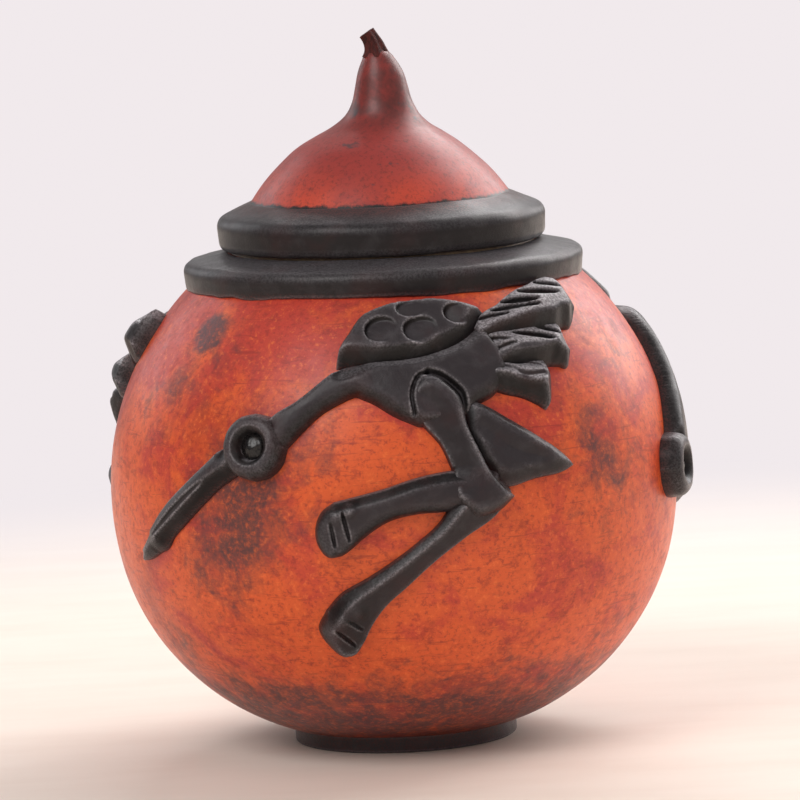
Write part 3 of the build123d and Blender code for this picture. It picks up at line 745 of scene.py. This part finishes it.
def laying_tree():
    """A flat carving laid on the gourd: its own plane bends to the round surface at its place."""
    tree, given = new_tree("laid_on_gourd", ["Gourd Radius", "Middle Height", "Round", "Up"])
    position = add(tree, "GeometryNodeInputPosition").outputs[0]
    flat = add(tree, "ShaderNodeSeparateXYZ", position).outputs
    reach = maths(tree, "POWER", maths(tree, "ADD", given["Gourd Radius"], flat[2]), 2)
    across = maths(tree, "ADD", maths(tree, "POWER", flat[0], 2), maths(tree, "POWER", flat[1], 2))
    out = maths(tree, "SQRT", maths(tree, "SUBTRACT", reach, across))
    bent = add(tree, "ShaderNodeCombineXYZ", flat[0], flat[1], out).outputs[0]
    lean = maths(tree, "SUBTRACT", math.pi / 2, given["Up"])
    turn = add(tree, "ShaderNodeCombineXYZ", lean, 0, given["Round"]).outputs[0]
    turned = add(tree, "ShaderNodeVectorRotate", bent, None, None, None, turn,
                 rotation_type="EULER_XYZ").outputs[0]
    lift = add(tree, "ShaderNodeCombineXYZ", 0, 0, given["Middle Height"]).outputs[0]
    placed = add(tree, "GeometryNodeSetPosition", given["Shape"], None, vectors(tree, "ADD", turned, lift))
    close_tree(tree, given, placed.outputs[0])
    return tree


LAYING = laying_tree()


def lay(name, mesh, spot, finish):
    """A flat carving as a piece on the gourd, at a spot in degrees round from the front and up."""
    piece = new_piece(name, mesh)
    carry_out(piece, LAYING, finish, {
        "Gourd Radius": GOURD_R, "Middle Height": MIDDLE_Z,
        "Round": math.radians(spot[0]), "Up": math.radians(spot[1])})
    return piece


def join(pieces):
    """Several pieces as one."""
    with bpy.context.temp_override(active_object=pieces[0], selected_editable_objects=pieces):
        bpy.ops.object.join()
    return pieces[0]


# A bird's pieces: the place in degrees round and up, the height of the top, the edges of the outline and
# the cuts. An edge has how it rises, its height at the outline, its slope or its width, and its points
# in millimetres, x round the gourd and y up it.
TORSO = ((10, 27.3), 5.0, [
    ("bevel", 0.7, 0.9, [(-25, 6.4), (-19, 8.0), (-5.2, 8.2), (6.4, 11.4)]),
    ("swell", 3.2, 2.4, [(15.8, 17.2), (17.8, 11.4), (20.2, 8.0)]),
    ("swell", 1.2, 6.0, [(21, -0.2), (16.8, -5.4), (10.6, -9.0)]),
    ("swell", 2.0, 3.0, [(6.7, -14.1)]),
    ("swell", 1.4, 4.2, [(-6.3, -13.6), (-13.2, -9.6), (-18.2, -5.5), (-22.4, -2.8)]),
    ("bevel", 0.4, 1.0, [(-27.4, 0.6), (-27.4, 4.2)]),
], [
    groove([(-7.7, -11), (-7.9, -5.3), (-6.9, -2.3), (-4.9, 0.3), (-2.4, 0.9)], 1.5, 1.3),
    groove([(-2.4, 0.9), (1.0, -0.5), (4.2, -3.2), (6.6, -6.4), (7.1, -9.1), (7.2, -13)], 2.8, 1.8),
])
WING = ((6, 39.5), 6.4, [
    ("swell", 4.6, 2.6, [(-22.3, -11.4), (-21.7, -8.4), (-18.2, -3.2), (-13.6, 2.2), (-10.2, 3.6),
                         (-5.2, 5.0), (0.8, 5.6), (6.8, 5.9), (12.7, 5.2), (18.6, 3.8)]),
    ("bevel", 0.8, 1.3, [(22.6, 2.4), (19.6, -2.8), (15.2, -7.8), (10.0, -10.9), (3.7, -13.2), (-1.2, -13.8),
                         (-6, -14.3), (-15, -13.4)]),
], [
    scoop((-9.2, -4.4), (4.9, 4.4), 2.0, (1, -0.55)), scoop((2.2, -5.3), (5.3, 4.4), 2.2, (1, -0.5)),
    scoop((0.2, 2.0), (4.6, 3.2), 1.6, (1, -0.1)), scoop((13.2, 0.2), (3.9, 3.6), 2.6, (1, 0.3)),
])
TAIL_TOP = ((36, 42.1), 7.0, [
    ("bevel", 3.4, 0.5, [(-17.5, -6.4), (-14.6, -3.4), (-11.8, -2.3), (-8.6, -1.4), (-4.7, 0.6), (0.9, 2.9),
                         (6.7, 4.6), (10.3, 6.0)]),
    ("bevel", 4.6, 0.8, [(14.6, 7.2), (17.2, 5.0), (18.2, 0.9), (18.5, -2.0)]),
    ("bevel", 1.2, 1.5, [(18.5, -7.4), (16.3, -9.4), (12.4, -9.8)]),
    ("bevel", 1.0, 1.25, [(8.6, -12.0), (-1, -12.6), (-10, -12.4)]),
    ("bevel", 5.0, 0.4, [(-17.5, -11.6)]),
], [
    gouge((-16.5, -4.6), (-7.0, -5.9), 2.0, 1.6), gouge((-11.4, -3.1), (4.0, -5.0), 2.5, 2.0),
    gouge((-6.4, -0.8), (5.0, -2.9), 3.0, 2.4), gouge((0.8, 2.2), (13, -1.2), 3.2, 2.6),
    gouge((8.6, 5.2), (16.6, 1.5), 2.8, 2.2),
])
TAIL_MIDDLE = ((35, 33.6), 6.6, [
    ("bevel", 2.6, 0.6, [(-17.2, -3), (-14.6, 3.4), (-5.6, 4.0), (4.0, 4.2)]),
    ("bevel", 4.2, 0.7, [(10.4, 4.2), (10.2, -0.6), (10.3, -4.0)]),
    ("bevel", 1.2, 1.5, [(11.4, -8.2), (10.2, -9.8), (7.8, -9.2)]),
    ("bevel", 0.9, 1.3, [(4.4, -8.8), (1, -9.4), (-6, -9.6)]),
    ("bevel", 4.4, 0.4, [(-13.4, -9)]),
], [
    gouge((-15.4, 1.4), (-9.6, -0.7), 2.2, 1.6), gouge((-6.6, 1.6), (5.6, -2.9), 3.0, 2.4),
    gouge((2.2, 3.0), (9.4, -0.8), 2.8, 2.2), gouge((-14, -3.0), (-8.2, -2.6), 1.8, 1.3),
])
TAIL_BOTTOM = ((31, 26.6), 6.0, [
    ("bevel", 2.2, 0.7, [(-15.4, -1.7), (-13, 5.4), (-6.2, 5.0)]),
    ("bevel", 2.0, 1.3, [(6.4, 3.6), (7.6, -0.6), (6.6, -5.3), (5.2, -9.6)]),
    ("bevel", 1.0, 1.05, [(4.0, -11.2), (1.6, -9.5), (-4, -6.5), (-7, -5.5), (-10.8, -3.8)]),
], [
    groove([(-11, 2.8), (-7.0, 1.4), (-4.0, -1.0), (0, -2.0), (3.4, -2.0)], 3.0, 1.1),
    gouge((-6, 3.6), (4.8, 1.0), 2.0, 0.8),
])
NEAR_THIGH = ((14, 15.7), 6.6, [
    ("bevel", 2.6, 0.4, [(-3.6, -9.4), (-6.4, -2), (-10.0, 3)]),
    ("swell", 2.8, 6.0, [(-13.0, 7.6), (-13.3, 12.8), (-12.1, 15.8), (-10.2, 17.9)]),
    ("swell", 2.2, 3.4, [(-7.9, 18.5), (-4.6, 17.1), (-1.7, 14.3), (0.5, 11.2), (1.2, 8.4), (1.6, 3.2),
                         (4.6, -5.3), (6.6, -10.0), (11.2, -16.0)]),
    ("swell", 2.0, 3.0, [(14.2, -18.6), (9, -22.5), (2, -24), (-4.0, -19)]),
], [])
NEAR_SHANK = ((3, -8.1), 6.4, [
    ("bevel", 1.8, 0.42, [(29.3, 17.1), (25.2, 12.1), (15.3, 6.1), (5.4, -0.8), (-2, -7.3), (-8.5, -13.3),
                          (-12.4, -19)]),
    ("swell", 1.8, 6.0, [(-14.8, -24.4), (-17.8, -28.9), (-20.6, -29.6), (-24.7, -26.3), (-27.5, -20.8)]),
    ("bevel", 2.4, 1.15, [(-25.2, -15), (-21.2, -10.0), (-13.4, -5.0), (-5.4, 0.2), (1.2, 4.9), (8.2, 10.6),
                          (12.4, 16.2)]),
    ("swell", 2.2, 3.0, [(19, 22.4), (27, 20.6)]),
], [
    gouge((-19.4, -16.8), (-15.2, -20.4), 1.3, 1.0), gouge((-23.1, -19.9), (-17.4, -25.6), 1.3, 1.1),
    knuckle((-16.5, -14.5), 4.0, 0.7), knuckle((-20.5, -17.4), 3.4, 0.6),
])
FAR_THIGH = ((27, 13.6), 3.8, [
    ("bevel", 2.0, 1.0, [(-16.3, 13.8), (-11.9, 12), (-4.3, 6.7), (4, 0.8), (11.6, -4.8)]),
    ("bevel", 1.5, 0.6, [(15.5, -8.7), (12.8, -9.8), (2.2, -11.2), (-7.3, -12.5)]),
    ("bevel", 1.2, 1.0, [(-10.6, -11.5), (-15.4, -3), (-17.4, 4.4)]),
], [
    groove([(-12.6, 5.0), (-5, -1.8), (5, -6.0)], 7.0, 0.9),
])
FAR_SHANK = ((-2, 2), 5.2, [
    ("bevel", 2.2, 1.1, [(33.3, 9.7), (18.3, 10.2), (9.4, 8.8), (-0.2, 6.1), (-9.8, 3.9)]),
    ("swell", 2.2, 4.0, [(-14.6, 2.8), (-18.2, 0.2), (-19.9, -3.2), (-19.5, -9.8), (-16.9, -12.8),
                         (-13.4, -12.5)]),
    ("swell", 1.6, 5.6, [(-10.0, -10.5), (-5.4, -6.7), (1.7, -2.7), (8.9, -1.3), (17.8, -1.0)]),
    ("swell", 1.6, 2.0, [(33.3, 1.6)]),
], [
    gouge((-12.3, 0.6), (-10.4, -8.2), 1.3, 1.2), gouge((-15.8, -2.6), (-14.7, -9.8), 1.2, 1.0),
    knuckle((-10.4, 0.6), 3.0, 0.8), knuckle((-14.2, -0.6), 3.0, 0.6),
])
NECK = ((-14.5, 24.3), 5.2, [
    ("swell", 4.2, 3.4, [(-17.4, -9.2), (-13.2, -5.4), (-6.6, -1.7), (-0.5, 3.3)]),
    ("bevel", 1.0, 0.8, [(6.2, 9.0), (13.6, 11.6), (19, 11.8)]),
    ("bevel", 3.4, 0.16, [(23.5, 10.4), (23.4, 3)]),
    ("swell", 1.4, 5.4, [(22.4, -3.8), (15.8, -0.8), (10.6, 0.6), (4.4, -2.0), (-0.4, -5.0), (-5.6, -9.8),
                         (-10.8, -14.8)]),
    ("bevel", 1.6, 0.8, [(-15, -17), (-19, -13)]),
], [])
BEAK = ((-44, 3.4), 5.0, [
    ("bevel", 3.9, 0.5, [(13.6, 16.8), (10.6, 13.8), (6.4, 10.1), (0.3, 5.2), (-7.5, -1.1), (-13, -6.3)]),
    ("bevel", 3.2, 0.5, [(-16.8, -10.3), (-20.6, -14.2)]),
    ("bevel", 2.0, 0.6, [(-23.6, -16.7)]),
    ("bevel", 1.4, 0.8, [(-25.0, -19.0), (-20.9, -18.1)]),
    ("bevel", 1.0, 1.1, [(-15.6, -15.9), (-11.5, -14.3), (-8.5, -11.1), (-2.4, -6.4), (5.4, 0), (12.1, 5.4),
                         (18.5, 9.6)]),
    ("bevel", 1.8, 0.8, [(23, 14.6), (19, 19)]),
], [
    gouge((7.4, 6.6), (-14, -10.2), 1.7, 0.8),
])
BENT_NECK = ((-37.5, 21.4), 5.4, [
    ("swell", 1.4, 4.4, [(-20.6, -19), (-13.6, -10.4), (-6.2, -3.6), (0.6, 4.8), (7.2, 12.6), (15.4, 18),
                         (27, 19.4)]),
    ("bevel", 3.4, 0.16, [(53, 19.4), (51, 13)]),
    ("swell", 2.0, 4.4, [(40, 9.6), (30, 8.2), (18.2, 9.2), (10.6, 4.6), (4.6, -3.2), (-3, -13.4),
                         (-9.6, -24.4)]),
    ("bevel", 1.6, 0.8, [(-17, -29), (-22, -25)]),
], [])
BENT_BEAK = ((-36, -3.4), 5.0, [
    ("bevel", 2.2, 1.2, [(-18.6, 9.8), (-6, 6.6), (6, 1.8)]),
    ("bevel", 1.8, 0.8, [(17.0, -3.2), (18.6, -7.4)]),
    ("bevel", 1.8, 0.8, [(14.4, -7.4), (0, -3.0), (-12, -0.6)]),
    ("bevel", 1.8, 0.8, [(-21, 0.6), (-23, 5)]),
], [
    groove([(-8, 3.4), (2, 0.2), (12.6, -4.4)], 2.2, 1.1),
])
HEAD_PLACE = (-28.2, 14.6)
BENT_HEAD_PLACE = (-50.5, 2.7)
HEAD_TOP = 6.4
HEAD_R = 9.6
SOCKET_R = 6.0
PIT_R = 4.4
DISH_DEPTH = 1.3
PIT_DEPTH, PIT_EDGE = 2.0, 0.5
EYE_R = 5.6
EYE_LIFT = -1.0
EYE_FLOOR = 1.2
EYE_DUST = (0.06, 0.04, 0.03, 1)


def head_dish(spots):
    """The eye's socket: a shallow dish round a deeper pit."""
    out = np.linalg.norm(spots, axis=1)
    dish = DISH_DEPTH * np.clip((SOCKET_R - out) / (SOCKET_R - PIT_R), 0, 1)
    pit = PIT_DEPTH * np.clip((PIT_R - out) / PIT_EDGE, 0, 1)
    return dish + pit


def head_outline():
    """A round head as four runs."""
    turns = np.radians(np.arange(0, 360, 30))
    ring = [(HEAD_R * math.cos(t), HEAD_R * math.sin(t)) for t in turns]
    return [("swell", 3.4, 3.8, ring[i:i + 3]) for i in range(0, 12, 3)]


def eye_ball(name):
    """The eye: a low lumpy dome set in the pit, flat underneath."""
    ball = bmesh.new()
    bmesh.ops.create_uvsphere(ball, u_segments=64, v_segments=48, radius=EYE_R * MM)
    for point in ball.verts:
        lump = 0.4 * noise.noise(point.co / (1.1 * MM)) + 0.5 * noise.noise(point.co / (2.6 * MM))
        point.co.z = max(point.co.z + (EYE_LIFT + 0.5 * lump) * MM, EYE_FLOOR * MM)
    mesh = bpy.data.meshes.new(name)
    ball.to_mesh(mesh)
    ball.free()
    return mesh


def eye_gloss():
    """Glossy black lacquer on the eyes, with a little dust."""
    material, tree, shader, where = new_finish("black_eye_gloss", 0.3)
    dust = mottle(tree, where, 1.5 * MM, 4, 0.7)
    colour = stain(tree, BLACK_PAINT, EYE_DUST, dust, 0.5, 0.75, 0.4)
    give_colour(tree, shader, colour, fade(tree, dust, 0.4, 0.8, 0.24, 0.5))
    return material


EYE_GLOSS = eye_gloss()
BODY_PIECES = {"torso": [TORSO], "wing": [WING], "tail_feather_top": [TAIL_TOP],
               "tail_feather_middle": [TAIL_MIDDLE], "tail_feather_bottom": [TAIL_BOTTOM],
               "near_leg": [NEAR_THIGH, NEAR_SHANK], "far_thigh": [FAR_THIGH], "far_shank": [FAR_SHANK]}
REACHING = {"neck": [NECK], "head": [(HEAD_PLACE, HEAD_TOP, head_outline(), [head_dish])], "beak": [BEAK]}
TUCKED = {"neck": [BENT_NECK], "head": [(BENT_HEAD_PLACE, HEAD_TOP, head_outline(), [head_dish])],
          "beak": [BENT_BEAK]}
HEADS = {"front_bird": (REACHING, HEAD_PLACE), "right_bird": (TUCKED, BENT_HEAD_PLACE),
         "left_bird": (REACHING, HEAD_PLACE)}
seed = 0
for bird, (turn, lower) in BIRD_STANDS.items():
    head_pieces, head_place = HEADS[bird]
    for piece_name, parts in (BODY_PIECES | head_pieces).items():
        node = f"{bird}_{piece_name}"
        laid = []
        for place, top, edges, cuts in parts:
            seed += 1
            flat_piece = sculpt(node, edges, top, cuts, seed * 3.7)
            spot = (place[0] + turn, place[1] - lower)
            laid.append(lay(f"{node}_carved", flat_piece, spot, RELIEF_PAINT))
        piece = join(laid) if len(laid) > 1 else laid[0]
        outward(piece.data, 60)
        # Up-facing faces get dust with a painted sheen, the tail feathers from a lower tilt.
        dust = TAIL_DUST_AND_SHEEN if piece_name.startswith("tail") else RELIEF_DUST_AND_SHEEN
        mark_rubbed_and_highlit(piece.data, RELIEF_ROUND, 2, RELIEF_SOFT_HIGHLIGHT, **dust)
        # Faces turned straight out take the dusty paint, partly as painted light; the flanks stay black as
        # painted shade.
        mark(piece.data, "dusty_and_lit", np.clip((facing_out(piece.data) - DUSTY_AND_LIT_FROM) / DUSTY_AND_LIT_REACH, 0, 1))
        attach(piece, "bowl")
        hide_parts(node)
    eye_spot = (head_place[0] + turn, head_place[1] - lower)
    eye = lay(f"{bird}_eye_ball", eye_ball(f"{bird}_eye"), eye_spot, EYE_GLOSS)
    outward(eye.data, 60)
    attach(eye, "bowl")
    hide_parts(f"{bird}_eye")

# The lid. The gourd's own top with its neck, cut to drop into the slanting mouth, hollowed below
# and dyed a deeper crimson, darker up the neck.
DOME_SETBACK = 0.6 * MM
SEAT_CLEARANCE = 0.3 * MM
LID_WALL = 5.6 * MM
LID_HOLLOW_RISE = 26 * MM
# The dome's outside from the rim to the top of the neck: radius, height over the mouth's edge
DOME_LINE = [(45.4, 0), (44.3, 4.6), (42.0, 9.8), (38.1, 15.6), (33.6, 21.4), (29.2, 25.8), (24.6, 29.8),
             (19.1, 33.3), (14.4, 36.1), (11.0, 39.2), (9.0, 42.9), (7.8, 47.4), (6.7, 51.8), (5.0, 55.4),
             (3.6, 57.6), (2.4, 58.4), (0, 58.7)]
# The neck leans to one side from its foot up, and a little back again near the top
NECK_LEAN = 2.0 * MM
NECK_FOOT, NECK_RISE = 28 * MM, 14 * MM
NECK_BACK, NECK_BACK_RISE = 48 * MM, 12 * MM
CRIMSON_DYE = (0.34, 0.032, 0.024, 1)
BRIGHT_CRIMSON = (0.62, 0.062, 0.022, 1)
NECK_BROWN = (0.07, 0.011, 0.009, 1)
# Sizes of the lid's patterns
LID_CLOUD_SIZE = 18 * MM
NECK_BLOTCH_SIZE = 6 * MM
LID_FLECK_SIZE = 3 * MM
LID_GRAIN_SIZE = 1.2 * MM
SPECK_SIZE = 9 * MM
PAINT_EDGE_WAVE = 3.4 * MM
LID_BUMP = 0.06 * MM
# Heights between which the dye turns bright towards the band, brown up the neck and black at the band
BRIGHT_HEIGHTS = (MOUTH_Z + 30 * MM, MOUTH_Z + 13 * MM)
BROWN_HEIGHTS = (MOUTH_Z + 31 * MM, MOUTH_Z + 42 * MM)
BLACK_HEIGHTS = (MOUTH_Z + 17.6 * MM, MOUTH_Z + 16.6 * MM)


def lid_skin():
    """The lid's dye: crimson, more orange by the band, dark brown and specked up the neck."""
    material, tree, shader, where = new_finish("lid_skin", 0.36)
    height = add(tree, "ShaderNodeSeparateXYZ", where).outputs[2]
    clouds = mottle(tree, where, LID_CLOUD_SIZE, 5, 0.6, 0.5)
    low = fade(tree, height, *BRIGHT_HEIGHTS)
    bright = maths(tree, "MULTIPLY", fade(tree, clouds, 0.34, 0.66), low)
    colour = mix(tree, bright, CRIMSON_DYE, BRIGHT_CRIMSON)
    high = fade(tree, height, *BROWN_HEIGHTS, 0, 0.85)
    blotches = fade(tree, mottle(tree, where, NECK_BLOTCH_SIZE, 5, 0.7), 0.3, 0.6, 0.45, 1)
    colour = mix(tree, maths(tree, "MULTIPLY", high, blotches), colour, NECK_BROWN)
    flecks = mottle(tree, where, LID_FLECK_SIZE, 5, 0.75)
    colour = stain(tree, colour, NECK_BROWN, flecks, 0.6, 0.74, 0.6)
    grain = mottle(tree, where, LID_GRAIN_SIZE, 3, 0.75)
    colour = stain(tree, colour, NECK_BROWN, grain, 0.48, 0.68, 0.5)
    specks = mottle(tree, vectors(tree, "ADD", where, (0.17, 0.05, 0.31)), SPECK_SIZE, 6, 0.62, 0.4)
    colour = stain(tree, colour, SMOKE_AND_SHADE_BROWN, specks, 0.63, 0.69, 0.85)
    uneven = maths(tree, "ADD", height, maths(tree, "MULTIPLY", flecks, PAINT_EDGE_WAVE))
    colour = mix(tree, fade(tree, uneven, *BLACK_HEIGHTS), colour, BLACK_PAINT)
    give_colour(tree, shader, raw_inside(tree, where, colour), fade(tree, flecks, 0.3, 0.7, 0.38, 0.5))
    wax(shader)
    bump(tree, shader, maths(tree, "ADD", flecks, maths(tree, "MULTIPLY", grain, 0.6)), LID_BUMP)
    return material


def lid_section():
    """The lid's section, outside from the seat up and inside back down to the seat."""
    outside = line_through([(r * MM, MOUTH_Z + z * MM) for r, z in DOME_LINE][::-1], 1.2 * MM)[::-1]
    seat_r = MOUTH_R - DOME_SETBACK
    rim_r = seat_r - LID_WALL
    rise = LID_HOLLOW_RISE + LID_WALL * SEAT_SLOPE
    hollow_r = (rim_r**2 + rise**2) / (2 * rise)
    hollow_z = MOUTH_Z + LID_HOLLOW_RISE - hollow_r
    rim_angle = math.degrees(math.acos(rim_r / hollow_r))
    under = arc((0, hollow_z), hollow_r, 90, rim_angle, 60)
    lift = SEAT_CLEARANCE * math.sqrt(1 + SEAT_SLOPE**2)
    seat = [(r, MOUTH_Z + lift - (MOUTH_R - r) * SEAT_SLOPE) for r in np.linspace(rim_r, seat_r, 8)]
    return under + seat + [tuple(p) for p in outside]


lid_dome = turn_piece("lid_dome_shell", lid_section(), lid_skin(), sides=240, uneven=0.35 * MM,
                      lump=26 * MM, seed=12.0, closed=False)
for point in lid_dome.data.vertices:
    up = min(1.0, max(0.0, (point.co.z - MOUTH_Z - NECK_FOOT) / NECK_RISE))
    back = min(1.0, max(0.0, (point.co.z - MOUTH_Z - NECK_BACK) / NECK_BACK_RISE))
    point.co.x += NECK_LEAN * (up * up * (3 - 2 * up) - 0.6 * back * back)
mark(lid_dome.data, "inside", normals_of(lid_dome.data)[:, 2] < -0.05)
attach(lid_dome, "lid")
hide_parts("lid_dome")

# The band round the lid. A thick black band with a soft outside and a sloping top that runs up
# the dome, lumpy and chipped from handling.
LID_RING_LIFT = 0.9 * MM
LID_RING_PROUD = 3.2 * MM
LID_RING_WALL = 9.2 * MM
LID_RING_TOP_R = 38.6 * MM
LID_RING_FOOT_R = 37.0 * MM
LID_RING_THIN_FROM = 11 * MM
LID_RING_THIN_REACH = 3 * MM
lid_band_out = MOUTH_R + LID_RING_PROUD
lid_band_low = MOUTH_Z + LID_RING_LIFT
lid_band_section = soft_section([(MOUTH_R - 2.4 * MM, lid_band_low, 0),
                                 (lid_band_out - 0.4 * MM, lid_band_low, 3.0 * MM),
                                 (lid_band_out, lid_band_low + LID_RING_WALL, 4.0 * MM),
                                 (LID_RING_TOP_R, lid_band_low + LID_RING_WALL + 4.8 * MM, 0.6 * MM),
                                 (LID_RING_FOOT_R, lid_band_low + LID_RING_WALL + 3.0 * MM, 0)])
lid_ring = turn_piece("lid_ring_painted", lid_band_section, BAND_PAINT, sides=RING_SIDES,
                      uneven=0.5 * MM, lump=15 * MM, seed=21.0, closed=True)
# The band's top gets dust with a painted sheen.
mark_rubbed_and_highlit(lid_ring.data, BAND_ROUND, 2, dust=0.8)
lid_ring_heights = points_of(lid_ring.data)[:, 2] - lid_band_low - LID_RING_THIN_FROM
mark(lid_ring.data, "thin", np.clip(lid_ring_heights / LID_RING_THIN_REACH, 0, 0.6))
mark(lid_ring.data, "dusty_and_lit", BAND_OPEN)
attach(lid_ring, "lid")
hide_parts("lid_ring")

# The stem stub. The dried stalk that the gourd hung from, still grown on to the neck, ribbed, pinched
# and bent to one side, and cut off slantwise.
STEM_LOW = 56.6 * MM
STEM_LENGTH = 7.4 * MM
STEM_R = 3.3 * MM
STEM_BEND = math.radians(27)
STEM_RINGS = 26
STEM_SIDES = 60
STEM_BROWN = (0.085, 0.014, 0.011, 1)
STEM_DARK = (0.025, 0.006, 0.005, 1)


def stem_bark():
    """Dry bark: brown with dark furrows along the stalk."""
    material, tree, shader, where = new_finish("stem_bark", 0.6)
    furrows = mottle(tree, vectors(tree, "MULTIPLY", where, (1, 1, 0.25)), 0.9 * MM, 4, 0.7)
    colour = mix(tree, fade(tree, furrows, 0.35, 0.62), STEM_DARK, STEM_BROWN)
    tree.links.new(colour, shader.inputs["Base Color"])
    shader.inputs["Specular IOR Level"].default_value = 0.2
    bump(tree, shader, furrows, 0.12 * MM)
    return material


def stem_mesh():
    """The stalk as rings along its bend, wide at the foot, pinched and flared at the cut."""
    points, faces = [], []
    for ring in range(STEM_RINGS):
        t = ring / (STEM_RINGS - 1)
        bend = STEM_BEND * t
        middle = Vector((NECK_LEAN * 0.4 - STEM_LENGTH * math.sin(bend) * t * 0.75, 0,
                         MOUTH_Z + STEM_LOW + STEM_LENGTH * t * math.cos(bend * 0.6)))
        girth = STEM_R * (1.25 - 1.15 * t + 0.64 * t * t)
        for side in range(STEM_SIDES):
            turn = math.tau * side / STEM_SIDES
            rough = 1 + 0.09 * math.cos(5 * turn + 0.8) + 0.05 * noise.noise(Vector((turn, t * 3, 4)))
            out = Vector((math.cos(turn), math.sin(turn), 0)) * girth * rough
            points.append(middle + Matrix.Rotation(-bend * 1.2, 3, "Y") @ out)
    for ring in range(STEM_RINGS - 1):
        for side in range(STEM_SIDES):
            following = (side + 1) % STEM_SIDES
            low, high = ring * STEM_SIDES, (ring + 1) * STEM_SIDES
            faces.append((low + side, low + following, high + following, high + side))
    faces.append(tuple(range(STEM_SIDES))[::-1])
    faces.append(tuple((STEM_RINGS - 1) * STEM_SIDES + side for side in range(STEM_SIDES)))
    mesh = bpy.data.meshes.new("lid_stem_stub")
    mesh.from_pydata(points, [], faces)
    return mesh


lid_stem = new_piece("lid_stem_stub", stem_mesh())
lid_stem.data.materials.append(stem_bark())
outward(lid_stem.data, 50)
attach(lid_stem, "lid")
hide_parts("lid_stem")

# The pale table top that the gourd stands on, its grain running across, lost in a pale blur further off.
# It is a wide flat sheet and isn't part of the object.
TABLE_COLOUR = (0.9, 0.8, 0.71, 1)
TABLE_GRAIN = (0.74, 0.6, 0.5, 1)
TABLE_GRAIN_SIZE = 0.03
TABLE_REACH = 9
DISTANCE_COLOUR = (0.88, 0.82, 0.84, 1)
BLUR_START, BLUR_END = 0.26, 0.6
table_corners = [(x * TABLE_REACH, y * TABLE_REACH, 0) for x, y in ((-1, -1), (1, -1), (1, 1), (-1, 1))]
table_mesh = bpy.data.meshes.new("table_top")
table_mesh.from_pydata(table_corners, [], [(0, 1, 2, 3)])
table = new_piece("table_top", table_mesh)
table_finish, table_tree, table_shader, table_where = new_finish("pale_table", 0.6)
along_grain = vectors(table_tree, "MULTIPLY", table_where, (0.3, 1, 1))
table_grain = mottle(table_tree, along_grain, TABLE_GRAIN_SIZE, 4, 0.6)
table_colour = stain(table_tree, TABLE_COLOUR, TABLE_GRAIN, table_grain, 0.3, 0.8, 0.3)
table_tree.links.new(table_colour, table_shader.inputs["Base Color"])
far_off = add(table_tree, "ShaderNodeVectorMath", table_where, operation="LENGTH").outputs["Value"]
seen = add(table_tree, "ShaderNodeLightPath").outputs["Is Camera Ray"]
blurred = maths(table_tree, "MULTIPLY", seen, fade(table_tree, far_off, BLUR_START, BLUR_END))
distance = add(table_tree, "ShaderNodeEmission", DISTANCE_COLOUR, 1.0).outputs[0]
table_mix = add(table_tree, "ShaderNodeMixShader", blurred, table_shader.outputs[0], distance)
table_tree.links.new(table_mix.outputs[0], table_tree.nodes["Material Output"].inputs["Surface"])
table_mesh.materials.append(table_finish)

# The daylight. A soft sky, brighter to the right, and four large soft lamps for the windows round the
# table and the open room in front.
SKY_COLOUR = (1.0, 0.97, 0.97, 1)
SKY_LEFT, SKY_RIGHT = 0.2, 0.5
GOURD_MIDDLE = (0, 0, 0.12)
world = bpy.data.worlds.new("daylight")
bpy.context.scene.world = world
world.use_nodes = True
sky_tree = world.node_tree
sky_light = sky_tree.nodes["Background"]
sky_light.inputs["Color"].default_value = SKY_COLOUR
sky_way = add(sky_tree, "ShaderNodeTexCoord").outputs["Generated"]
to_right = add(sky_tree, "ShaderNodeSeparateXYZ", sky_way).outputs[0]
sky_strength = fade(sky_tree, to_right, -0.9, 0.6, SKY_LEFT, SKY_RIGHT)
sky_tree.links.new(sky_strength, sky_light.inputs["Strength"])


def lamp(name, place, aim, size, power, colour):
    """A large soft lamp."""
    data = bpy.data.lights.new(name, "AREA")
    data.shape = "RECTANGLE"
    data.size, data.size_y = size
    data.energy = power
    data.color = colour
    made = new_piece(name, data)
    made.location = place
    made.rotation_euler = (Vector(aim) - Vector(place)).to_track_quat("-Z", "Y").to_euler()


lamp("window_right", (1.1, 0.98, 1.02), GOURD_MIDDLE, (1.2, 1.5), 25, (1, 0.96, 0.95))
lamp("window_left", (-1.2, 1.1, 0.8), GOURD_MIDDLE, (1.0, 1.0), 5, (0.96, 0.97, 1))
lamp("window_back", (0.3, 1.7, 1.4), GOURD_MIDDLE, (1.2, 0.45), 12, (1, 0.98, 0.98))
lamp("open_front", (-1.2, -1.5, 1.75), (0, 0, 0.1), (1.4, 1.4), 30, (1, 0.98, 0.97))

# The camera stands where the photograph was taken, a little above the gourd and a long way off, with a
# long lens, and is rolled a little to one side.
CAMERA_PLACE = Vector((0, -1.85, 0.325))
CAMERA_AIM = Vector((0.003, 0, 0.1015))
CAMERA_ROLL = math.radians(2.8)
CAMERA_LENS = 279.4
CAMERA_SENSOR = 36
camera_data = bpy.data.cameras.new("camera")
camera_data.lens = CAMERA_LENS
camera_data.sensor_width = CAMERA_SENSOR
camera = new_piece("camera", camera_data)
ahead = (CAMERA_AIM - CAMERA_PLACE).normalized()
level = ahead.cross(Vector((0, 0, 1))).normalized()
upward = level.cross(ahead)
across = level * math.cos(CAMERA_ROLL) - upward * math.sin(CAMERA_ROLL)
up_axis = upward * math.cos(CAMERA_ROLL) + level * math.sin(CAMERA_ROLL)
camera_turn = Matrix((across, up_axis, -ahead)).transposed().to_4x4()
camera.matrix_world = Matrix.Translation(CAMERA_PLACE) @ camera_turn
camera_data.clip_end = 50
bpy.context.scene.camera = camera
bpy.context.scene.view_settings.view_transform = "Standard"
